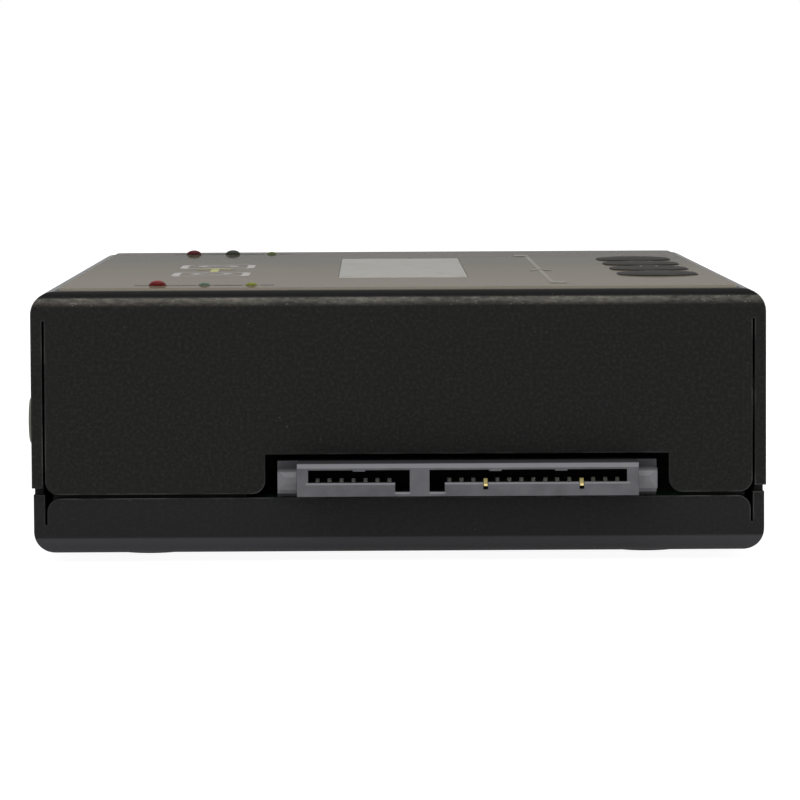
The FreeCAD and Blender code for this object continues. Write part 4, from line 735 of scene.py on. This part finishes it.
# %% Finishes by slot
# A moulded row gives dark, pale, roughness, grains per mm, their depth and the gloss level, as far as needed.
finishes = {
    "case_coat": powder_coat("case_coat"),
    "film": printed_film("film"),
    "lens": clear_lens("lens"),
    "display": display_cell("display"),
    "light_guide": moulded("light_guide", (198, 204, 196), (214, 218, 210), 0.25, depth=0.002),
    "board": solder_mask("board"),
    "key_plastic": moulded("key_plastic", (30, 29, 28), (38, 37, 35), 0.8, 6.0, 0.012, 0.1),
    "button_plastic": moulded("button_plastic", (78, 80, 68), (92, 94, 80), 0.5),
    "socket_plastic": socket_plastic("socket_plastic"),
    "switch_plastic": moulded("switch_plastic", (34, 34, 34), (44, 44, 44), 0.45),
    "black_plastic": moulded("black_plastic", (26, 26, 27), (36, 36, 37), 0.5),
    "chip_resin": moulded("chip_resin", (30, 30, 31), (40, 40, 40), 0.6, 8.0, 0.015),
    "ferrite": moulded("ferrite", (66, 66, 68), (84, 84, 86), 0.7, 7.0, 0.02),
    "ceramic_part": moulded("ceramic_part", (140, 118, 94), (176, 152, 124), 0.4),
    "rubber": moulded("rubber", (24, 24, 24), (34, 33, 33), 0.85, 3.0, 0.02, 0.25),
    "bezel_metal": metal("bezel_metal", (40, 40, 41), (58, 58, 59), 0.5),
    "screws": metal("screws", (56, 55, 54), (84, 82, 80), 0.4, (6, 6, 1)),
    "tinned": metal("tinned", (176, 177, 174), (214, 214, 210), 0.3),
    "can_metal": metal("can_metal", (196, 197, 199), (224, 224, 226), 0.28, (8, 8, 1)),
    "steel_posts": metal("steel_posts", (34, 34, 35), (50, 50, 51), 0.55, (8, 8, 1)),
    "gold": gold_contact("gold"),
}
for lamp_name, (dark, pale) in LAMP_TINTS.items():
    low, high = box_mm(lamp_name)
    finishes[lamp_name] = clear_lamp(lamp_name, dark, pale, tuple((low + high) / 2))

painted = 0
for node in nodes.values():
    for place in node.material_slots:
        slot_name = place.material.name.split(".")[0]
        place.material = finishes[slot_name].material
        painted += 1
print(painted, "material slots painted with", len(finishes), "finishes")

# %% [markdown]
# ## Window pane
# The window is a stepped pane: its rim hides under the lid, and its raised middle fills the hole up to the
# film, so that the panel feels flat. It could be two boxes joined, but one skin has no hidden faces between
# them. The pane is a pile of rounded rectangles, each a little narrower than the one below, with a small
# bevel at the top.

# %% Window pane
SHEET = 1.2
PLAY = 0.01
WINDOW_SIZE = (14.6, 61.9)
PANE_ROUND = 0.3
PANE_BEVEL = 0.05
CORNER_POINTS = 6
film_top = film_high[2]


def rounded_frame(centre, size, radius):
    """A closed path round a rectangle: each corner is a quarter circle about a centre of its own."""
    turns = np.linspace(0, np.pi / 2, CORNER_POINTS)
    half = np.array(size) / 2 - radius
    corners = []
    for number, (sx, sy) in enumerate(((1, 1), (-1, 1), (-1, -1), (1, -1))):
        angle = turns + number * np.pi / 2
        middle = np.array(centre) + half * (sx, sy)
        corners.append(middle + radius * np.stack([np.cos(angle), np.sin(angle)], axis=1))
    return np.concatenate(corners)


def put_slab(name, centre, levels, radius, slot_name):
    """A slab that rides on the case with the finish of its slot: rounded rectangles about one centre, one for
    each (width, length, height) of the levels."""
    frames = [np.insert(rounded_frame(centre, level[:2], radius), 2, level[2], axis=1) for level in levels]
    slab = skin_of_rings(name, np.stack(frames), finishes[slot_name])
    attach(slab, "case")
    return slab


low, high = box_mm("display_window")
rim = tuple((high - low)[:2])
bevelled = tuple(side - 2 * PANE_BEVEL for side in WINDOW_SIZE)
pane_levels = [
    (*rim, low[2]),
    (*rim, high[2]),
    (*WINDOW_SIZE, high[2]),
    (*WINDOW_SIZE, film_top - PANE_BEVEL - PLAY),
    (*bevelled, film_top - PLAY),
]
pane = put_slab("window_pane", ((low + high) / 2)[:2], pane_levels, PANE_ROUND, "lens")
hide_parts("display_window")
print("pane is", np.round(rim, 1), "mm at its rim and stands", round(film_top - low[2], 2), "mm high")

# %% [markdown]
# ## Dark strips for the shade in the seams
# The two halves of the case meet in a narrow seam, which shows dark. Black foam pieces are put there as
# painted shade, so that the background does not show through. Along the sides a strip fills the seam. On the
# ends the flaps leave less room, so a thin tape lies behind them. Both are slabs of the same kind as the
# pane.

# %% Dark strips in the seams
SEAM = 0.7
STRIP_WIDTH = 0.95
STRIP_ROUND = 0.1
STRIP_INSET = 0.04
TAPE = 0.12
TAPE_HEIGHT = 2.4
TAPE_SIDE_GAP = 1.0
TAPE_NOTCH_GAP = 3.3

pan_high = box_mm("bottom_pan")[1]
strip_length = 2 * (case_high[1] - SHEET)
# Painted shade: dark strips fill the side seams where there is only shade.
for side, name in ((-1, "left_seam_shade_strip"), (1, "right_seam_shade_strip")):
    x = side * (pan_high[0] - STRIP_INSET - STRIP_WIDTH / 2)
    heights = (pan_high[2] + PLAY, pan_high[2] + SEAM - PLAY)
    put_slab(name, (x, 0), [(STRIP_WIDTH, strip_length, z) for z in heights], STRIP_ROUND, "rubber")

inside = case_high[0] - SHEET - TAPE_SIDE_GAP
spans = {
    "left": (-inside, socket_low[0] - TAPE_NOTCH_GAP),
    "right": (socket_high[0] + TAPE_NOTCH_GAP, inside),
}
middle_height = box_mm("top_cover")[0][2]
heights = (middle_height - TAPE_HEIGHT / 2, middle_height + TAPE_HEIGHT / 2)
# Painted shade: thin dark tapes behind the end flaps darken the seam.
for end, toward in (("front", -1), ("rear", 1)):
    y = toward * (case_high[1] - SHEET - TAPE / 2)
    for side, (first, last) in spans.items():
        levels = [(last - first, TAPE, z) for z in heights]
        put_slab(f"seam_shade_tape_{end}_{side}", ((first + last) / 2, y), levels, TAPE / 3, "rubber")
print("seam strips are", round(strip_length, 1), "mm long, and tapes", round(last - first, 1), "mm")

# %% [markdown]
# ## Keys
# A moulded key has a soft rounded shoulder and a slightly domed top, which a plain extrusion lacks. One
# profile describes the whole key: the post that presses the switch, the hollow, the flange that holds it
# under the lid, the skirt, the shoulder and the dome. A ring of a long oval follows that profile. Each key
# rides on its own body, so that it goes down when it is pressed. The film's hole has a lip, which stays.

# %% Keys
KEY_FLANGE = 0.9
FLANGE_THICKNESS = 0.8
KEY_WALL = 1.3
KEY_ROOF = 1.2
POST_RADIUS = 2.2
SHOULDER = 0.2
DOME_RISE = 0.22
DOME_TIP = 0.02
KEY_PROUD = 0.34
KEY_SLIMMER = 0.35
KEY_CLEARANCE = 0.3
LIP_GAP = 0.1
RING_POINTS = 64
SHOULDER_POINTS = 7
DOME_POINTS = 9


def key_profile(low, high, flange_low):
    """(radius, straight, height) rows from the post's foot, by the hollow and the flange, up the dome."""
    flange_high = flange_low + FLANGE_THICKNESS
    flange_radius = (high[0] - low[0]) / 2
    radius = flange_radius - KEY_FLANGE - KEY_SLIMMER
    straight = (high[1] - low[1]) / 2 - flange_radius
    top = film_top + KEY_PROUD
    roof = top - KEY_ROOF
    inner = radius - KEY_WALL + KEY_SLIMMER
    under = [
        (POST_RADIUS, 0, low[2]),
        (POST_RADIUS, 0, roof),
        (inner, straight, roof),
        (inner, straight, flange_low),
        (flange_radius, straight, flange_low),
        (flange_radius, straight, flange_high),
        (radius, straight, flange_high),
    ]
    turns = np.linspace(0, np.pi / 2, SHOULDER_POINTS)
    shoulder_radius = radius - SHOULDER * (1 - np.cos(turns))
    shoulder_height = top - DOME_RISE - SHOULDER * (1 - np.sin(turns))
    shoulder = np.stack([shoulder_radius, straight + 0 * turns, shoulder_height], axis=1)
    left = 1 - np.linspace(0, 1, DOME_POINTS)[1:]
    dome_radius = (radius - SHOULDER) * left + DOME_TIP
    dome = np.stack([dome_radius, straight * left, top - DOME_RISE * left**2], axis=1)
    return np.concatenate([under, shoulder, dome])


def lip_profile(low, high):
    """(radius, straight, height) corners of the film's lip, between the edge of its hole and the key."""
    straight = (high[1] - low[1] - high[0] + low[0]) / 2
    outer = (high[0] - low[0]) / 2 - KEY_FLANGE + KEY_CLEARANCE - PLAY
    inner = outer - KEY_CLEARANCE - KEY_SLIMMER + LIP_GAP
    return [
        (inner, straight, case_high[2]),
        (outer, straight, case_high[2]),
        (outer, straight, film_top),
        (inner, straight, film_top),
    ]


flange_low = case_high[2] - SHEET - KEY_CLEARANCE - FLANGE_THICKNESS
for number in range(1, 5):
    node_name = f"key_{number}"
    low, high = box_mm(node_name)
    middle = (low + high) / 2
    rings = oval_rings(key_profile(low, high, flange_low), middle, RING_POINTS)
    cap = skin_of_rings(f"{node_name}_cap", rings, finishes["key_plastic"])
    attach(cap, f"{node_name}_body")
    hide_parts(node_name)
    lip_rings = oval_rings(lip_profile(low, high), middle, RING_POINTS)
    lip = skin_of_rings(f"{node_name}_lip", lip_rings, finishes["film"], closed=True)
    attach(lip, "case")
print("keys stand", KEY_PROUD, "mm above the film, each inside a lip of film")

# %% [markdown]
# ## Power button
# The button in the left wall is a turned shape too, but about a level axis. Its profile runs from the blind
# hole for the plunger, round the flange that stops it behind the wall, to a rounded rim and a shallow dish
# that a fingertip finds.

# %% Power button
BUTTON_RADIUS = 2.7
BUTTON_FLANGE = 0.8
BUTTON_HOLE_RADIUS = 1.45
BUTTON_HOLE_DEPTH = 2.4
BUTTON_RIM = 0.4
BUTTON_DISH = 0.15
BUTTON_POINTS = 56
RIM_POINTS = 8
DISH_POINTS = 10
DISH_TIP = 0.02


def button_rings(low, high, around):
    """Rings about the button's level axis, from the hole's end outwards: y = r cos a, z = -r sin a, and x
    falls from the back to the face. The rim is a quarter circle, and the dish is a parabola."""
    back, face = high[0], low[0]
    flange_radius = (high[1] - low[1]) / 2
    turns = np.linspace(0, np.pi / 2, RIM_POINTS)
    rim_radius = BUTTON_RADIUS - BUTTON_RIM * (1 - np.cos(turns))
    rim = np.stack([rim_radius, face + BUTTON_RIM * (1 - np.sin(turns))], axis=1)
    shares = np.linspace(1, DISH_TIP, DISH_POINTS)[1:]
    dish_radius = (BUTTON_RADIUS - BUTTON_RIM) * shares
    dish = np.stack([dish_radius, face + BUTTON_DISH * (1 - shares**2)], axis=1)
    inside = [
        (BUTTON_HOLE_RADIUS, back - BUTTON_HOLE_DEPTH),
        (BUTTON_HOLE_RADIUS, back),
        (flange_radius, back),
        (flange_radius, back - BUTTON_FLANGE),
        (BUTTON_RADIUS, back - BUTTON_FLANGE),
    ]
    radius, x = np.concatenate([inside, rim, dish]).T[:, :, None]
    angles = (np.arange(around) + 0.5) * 2 * np.pi / around
    middle = (low + high) / 2
    y = middle[1] + radius * np.cos(angles)
    z = middle[2] - radius * np.sin(angles)
    return np.stack([x + 0 * angles, y, z], axis=-1)


rings = button_rings(*box_mm("power_button"), BUTTON_POINTS)
button = skin_of_rings("power_button_cap", rings, finishes["button_plastic"])
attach(button, "button_body")
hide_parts("power_button")
print("the button has", len(button.data.polygons), "faces")

# %% [markdown]
# ## Lamps
# Each lamp is a small cast epoxy dome on a flange. Its profile turned about its own axis gives the shape, and
# three of them stand a little higher than the others, as hand-fitted lamps do.

# %% Lamps
LAMP_RADIUS = 0.95
LAMP_FLANGE = 1.35
LAMP_FLANGE_HEIGHT = 0.5
HIGH_LAMPS = ("lamp_front_1", "lamp_rear_1", "lamp_rear_2")
HIGH_PROUD = 0.54
LOW_PROUD = 0.3
LOW_SHOWN = 0.68
LAMP_POINTS = 40
LAMP_DOME_POINTS = 14
LAMP_TIP = 0.03


def lamp_profile(low, proud, shown):
    """(radius, 0, height) rows: flange, stem, and half an ellipse, with z = top - depth * (1 - cos a) and
    r = R sin a. The depth is the one that brings r = shown to the height of the film."""
    turns = np.linspace(np.pi / 2, LAMP_TIP, LAMP_DOME_POINTS)
    depth = proud / (1 - np.sqrt(max(1 - (shown / LAMP_RADIUS) ** 2, 0)))
    height = film_top + proud - depth * (1 - np.cos(turns))
    dome = np.stack([LAMP_RADIUS * np.sin(turns), 0 * turns, height], axis=1)
    stem = [
        (LAMP_FLANGE, 0, low),
        (LAMP_FLANGE, 0, low + LAMP_FLANGE_HEIGHT),
        (LAMP_RADIUS, 0, low + LAMP_FLANGE_HEIGHT),
    ]
    return np.concatenate([stem, dome])


for lamp_name in LAMP_TINTS:
    low, high = box_mm(lamp_name)
    proud, shown = (HIGH_PROUD, LAMP_RADIUS) if lamp_name in HIGH_LAMPS else (LOW_PROUD, LOW_SHOWN)
    rings = oval_rings(lamp_profile(low[2], proud, shown), (low + high) / 2, LAMP_POINTS)
    dome = skin_of_rings(f"{lamp_name}_dome", rings, finishes[lamp_name])
    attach(dome, "case")
    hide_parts(lamp_name)
print(len(LAMP_TINTS), "lamps, of which", len(HIGH_LAMPS), "stand", HIGH_PROUD, "mm above the film")

# %% [markdown]
# ## Printed strokes
# Ink on a film could be painted in its material, but a thin slab of its own stays sharp at any distance and
# keeps its place when the film is repainted. A stroke is a flat rectangle carried along a path in plan. Where
# the path turns, the corner is mitred, so that the stroke keeps its width.

# %% Printed strokes
INK_THICKNESS = 0.02
LINE_WIDTH = 0.5


def stroke(path, width, height, closed=False):
    """Points and faces of a flat stroke. At each path point the side vector is the mean normal of the two
    segments, divided by the cosine of half the turn; four corners are the point plus or minus half of it,
    at the surface and one ink thickness above."""
    path = np.asarray(path, float)
    steps = np.roll(path, -1, axis=0) - path
    steps /= np.linalg.norm(steps, axis=1)[:, None]
    before = np.roll(steps, 1, axis=0)
    if not closed:
        before[0] = steps[0]
        steps[-1] = before[-1]
    normals = np.stack([-steps[:, 1], steps[:, 0]], axis=1)
    normals_before = np.stack([-before[:, 1], before[:, 0]], axis=1)
    mean = normals + normals_before
    side = mean / (1 + np.sum(normals * normals_before, axis=1))[:, None] * width / 2
    low = np.full((len(path), 1), height)
    high = low + INK_THICKNESS
    corners = [
        np.hstack([path + side, low]),
        np.hstack([path - side, low]),
        np.hstack([path - side, high]),
        np.hstack([path + side, high]),
    ]
    points = np.stack(corners, axis=1)
    here = 4 * np.arange(len(path) if closed else len(path) - 1)
    ahead = (here + 4) % (4 * len(path))
    faces = []
    for corner in range(4):
        following = (corner + 1) % 4
        quads = [here + corner, ahead + corner, ahead + following, here + following]
        faces += np.stack(quads, axis=1).tolist()
    if not closed:
        last = 4 * (len(path) - 1)
        faces += [[0, 1, 2, 3], [last + 3, last + 2, last + 1, last]]
    return points.reshape(-1, 3), faces


def put_marks(name, strokes, ink, body="case"):
    """Several strokes as one printed piece that rides on a body."""
    points = []
    faces = []
    for stroke_points, stroke_faces in strokes:
        start = sum(len(p) for p in points)
        points.append(stroke_points)
        faces += [[start + i for i in face] for face in stroke_faces]
    piece = put_mesh(name, np.concatenate(points), faces, ink)
    piece.data.shade_flat()
    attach(piece, body)
    print(f"{name}: strokes {len(strokes)}, faces {len(faces)}")


print("ink lies", INK_THICKNESS, "mm thick")

# %% [markdown]
# ## Bars beside the lamps
# A dark bar fills the space between the lamps of a row, so that the row reads as one. It could be a single
# bar with holes, but separate strokes that stop short of each lamp look the same and need no holes.

# %% Bars beside the lamps
BAR_REACH = 1.5
BAR_GAP = 0.98
BAR_WIDTH = 1.9

bars = []
for row in ("front", "rear"):
    middles = [np.mean(box_mm(f"lamp_{row}_{number}"), axis=0) for number in (1, 2, 3)]
    y = middles[0][1]
    stops = [middle[0] for middle in middles]
    starts = [stops[0] - BAR_REACH - BAR_GAP] + [x + BAR_GAP for x in stops]
    ends = [x - BAR_GAP for x in stops] + [stops[2] + BAR_REACH + BAR_GAP]
    bars += [stroke([(start, y), (end, y)], BAR_WIDTH, film_top) for start, end in zip(starts, ends)]
put_marks("lamp_row_lines", bars, printed_ink("dark_ink", (26, 26, 24)))

# %% [markdown]
# ## Transfer line
# A pale line with an arrow shows which way the data flows, from the socket at the user's left to the one at
# the right. It could be one outline, but strokes are simpler. Where they cross, one lies an ink thickness
# above the other, because faces in one plane would flicker.

# %% Transfer line
TRANSFER_X = 16.9
TRANSFER_FRONT = -46.5
TRANSFER_BACK = 38.0
BLOCK_REACH = 1.5
BLOCK_DEPTH = 4.5
ARROW_Y = -7.0
ARROW_HALF = 1.0
ARROW_LONG = 6.0

half_line = LINE_WIDTH / 2
over_line = film_top + INK_THICKNESS
line_path = [(TRANSFER_X, TRANSFER_FRONT), (TRANSFER_X, TRANSFER_BACK)]
front_block = [(TRANSFER_X - half_line, TRANSFER_FRONT), (TRANSFER_X + BLOCK_REACH, TRANSFER_FRONT)]
back_block = [(TRANSFER_X - BLOCK_REACH, TRANSFER_BACK), (TRANSFER_X + half_line, TRANSFER_BACK)]
arrow_path = [
    (TRANSFER_X - ARROW_HALF, ARROW_Y - ARROW_LONG),
    (TRANSFER_X, ARROW_Y),
    (TRANSFER_X + ARROW_HALF, ARROW_Y - ARROW_LONG),
]
transfer = [
    stroke(line_path, LINE_WIDTH, film_top),
    stroke(front_block, BLOCK_DEPTH, over_line),
    stroke(back_block, BLOCK_DEPTH, over_line),
    stroke(arrow_path, LINE_WIDTH, over_line),
]
put_marks("transfer_line", transfer, printed_ink("grey_ink", (98, 95, 82)))

# %% [markdown]
# ## Drive symbols
# Two plain outlines of a drive, each with a ring for its disk, and an arrow from the source to the target.
# The outlines are the window's rounded rectangle again, used as a closed path for a stroke.

# %% Drive symbols
SYMBOL_X = -21.3
SYMBOL_LINE = 0.9
DRIVE_SIZE = (8.0, 11.0)
DRIVE_ROUND = 1.2
DISK_SIZE = (4, 4)
DISK_ROUND = 1.9
DISK_OFFSET = 1.5
SOURCE_Y = -19.5
TARGET_Y = 4.5
SHAFT_GAP = 7.5
TIP_GAP = 7.0
TIP_SIZE = (2, 2.5)

drives = []
for y in (SOURCE_Y, TARGET_Y):
    outline = rounded_frame((SYMBOL_X, y), DRIVE_SIZE, DRIVE_ROUND)
    disk = rounded_frame((SYMBOL_X, y + DISK_OFFSET), DISK_SIZE, DISK_ROUND)
    drives += [stroke(path, SYMBOL_LINE, film_top, closed=True) for path in (outline, disk)]
pale_ink = printed_ink("pale_ink", (146, 142, 140))
put_marks("drive_symbols", drives, pale_ink)

tip = TARGET_Y - TIP_GAP
shaft = [(SYMBOL_X, SOURCE_Y + SHAFT_GAP), (SYMBOL_X, TARGET_Y - SHAFT_GAP)]
head_x, head_y = TIP_SIZE
head = [(SYMBOL_X - head_x, tip - head_y), (SYMBOL_X, tip), (SYMBOL_X + head_x, tip - head_y)]
arrow = [stroke(shaft, SYMBOL_LINE, film_top), stroke(head, SYMBOL_LINE, over_line)]
put_marks("copy_arrow", arrow, printed_ink("yellow_ink", (150, 148, 74)))

# %% [markdown]
# ## Marks on the keys
# Each key carries a plain mark: back, a start block, forward and a dash. They ride on the keys' bodies, so
# that they go down with them, and lie just inside the top of the dome.

# %% Marks on the keys
CHEVRON = (1.3, 0.9)
BLOCK_HALF = 1.0
BLOCK_WIDTH = 2.0
DASH_HALF = 1.2

key_ink = printed_ink("key_ink", (86, 84, 80))
reach, rise = CHEVRON
KEY_MARKS = {
    1: ([(-reach, rise), (0, -rise), (reach, rise)], LINE_WIDTH, key_ink),
    2: ([(-BLOCK_HALF, 0), (BLOCK_HALF, 0)], BLOCK_WIDTH, pale_ink),
    3: ([(-reach, -rise), (0, rise), (reach, -rise)], LINE_WIDTH, key_ink),
    4: ([(-DASH_HALF, 0), (DASH_HALF, 0)], LINE_WIDTH, key_ink),
}
mark_height = film_top + KEY_PROUD - INK_THICKNESS - PLAY
for number, (path, width, ink) in KEY_MARKS.items():
    middle = np.mean(box_mm(f"key_{number}"), axis=0)[:2]
    mark = stroke(np.array(path) + middle, width, mark_height)
    put_marks(f"key_{number}_mark", [mark], ink, f"key_{number}_body")
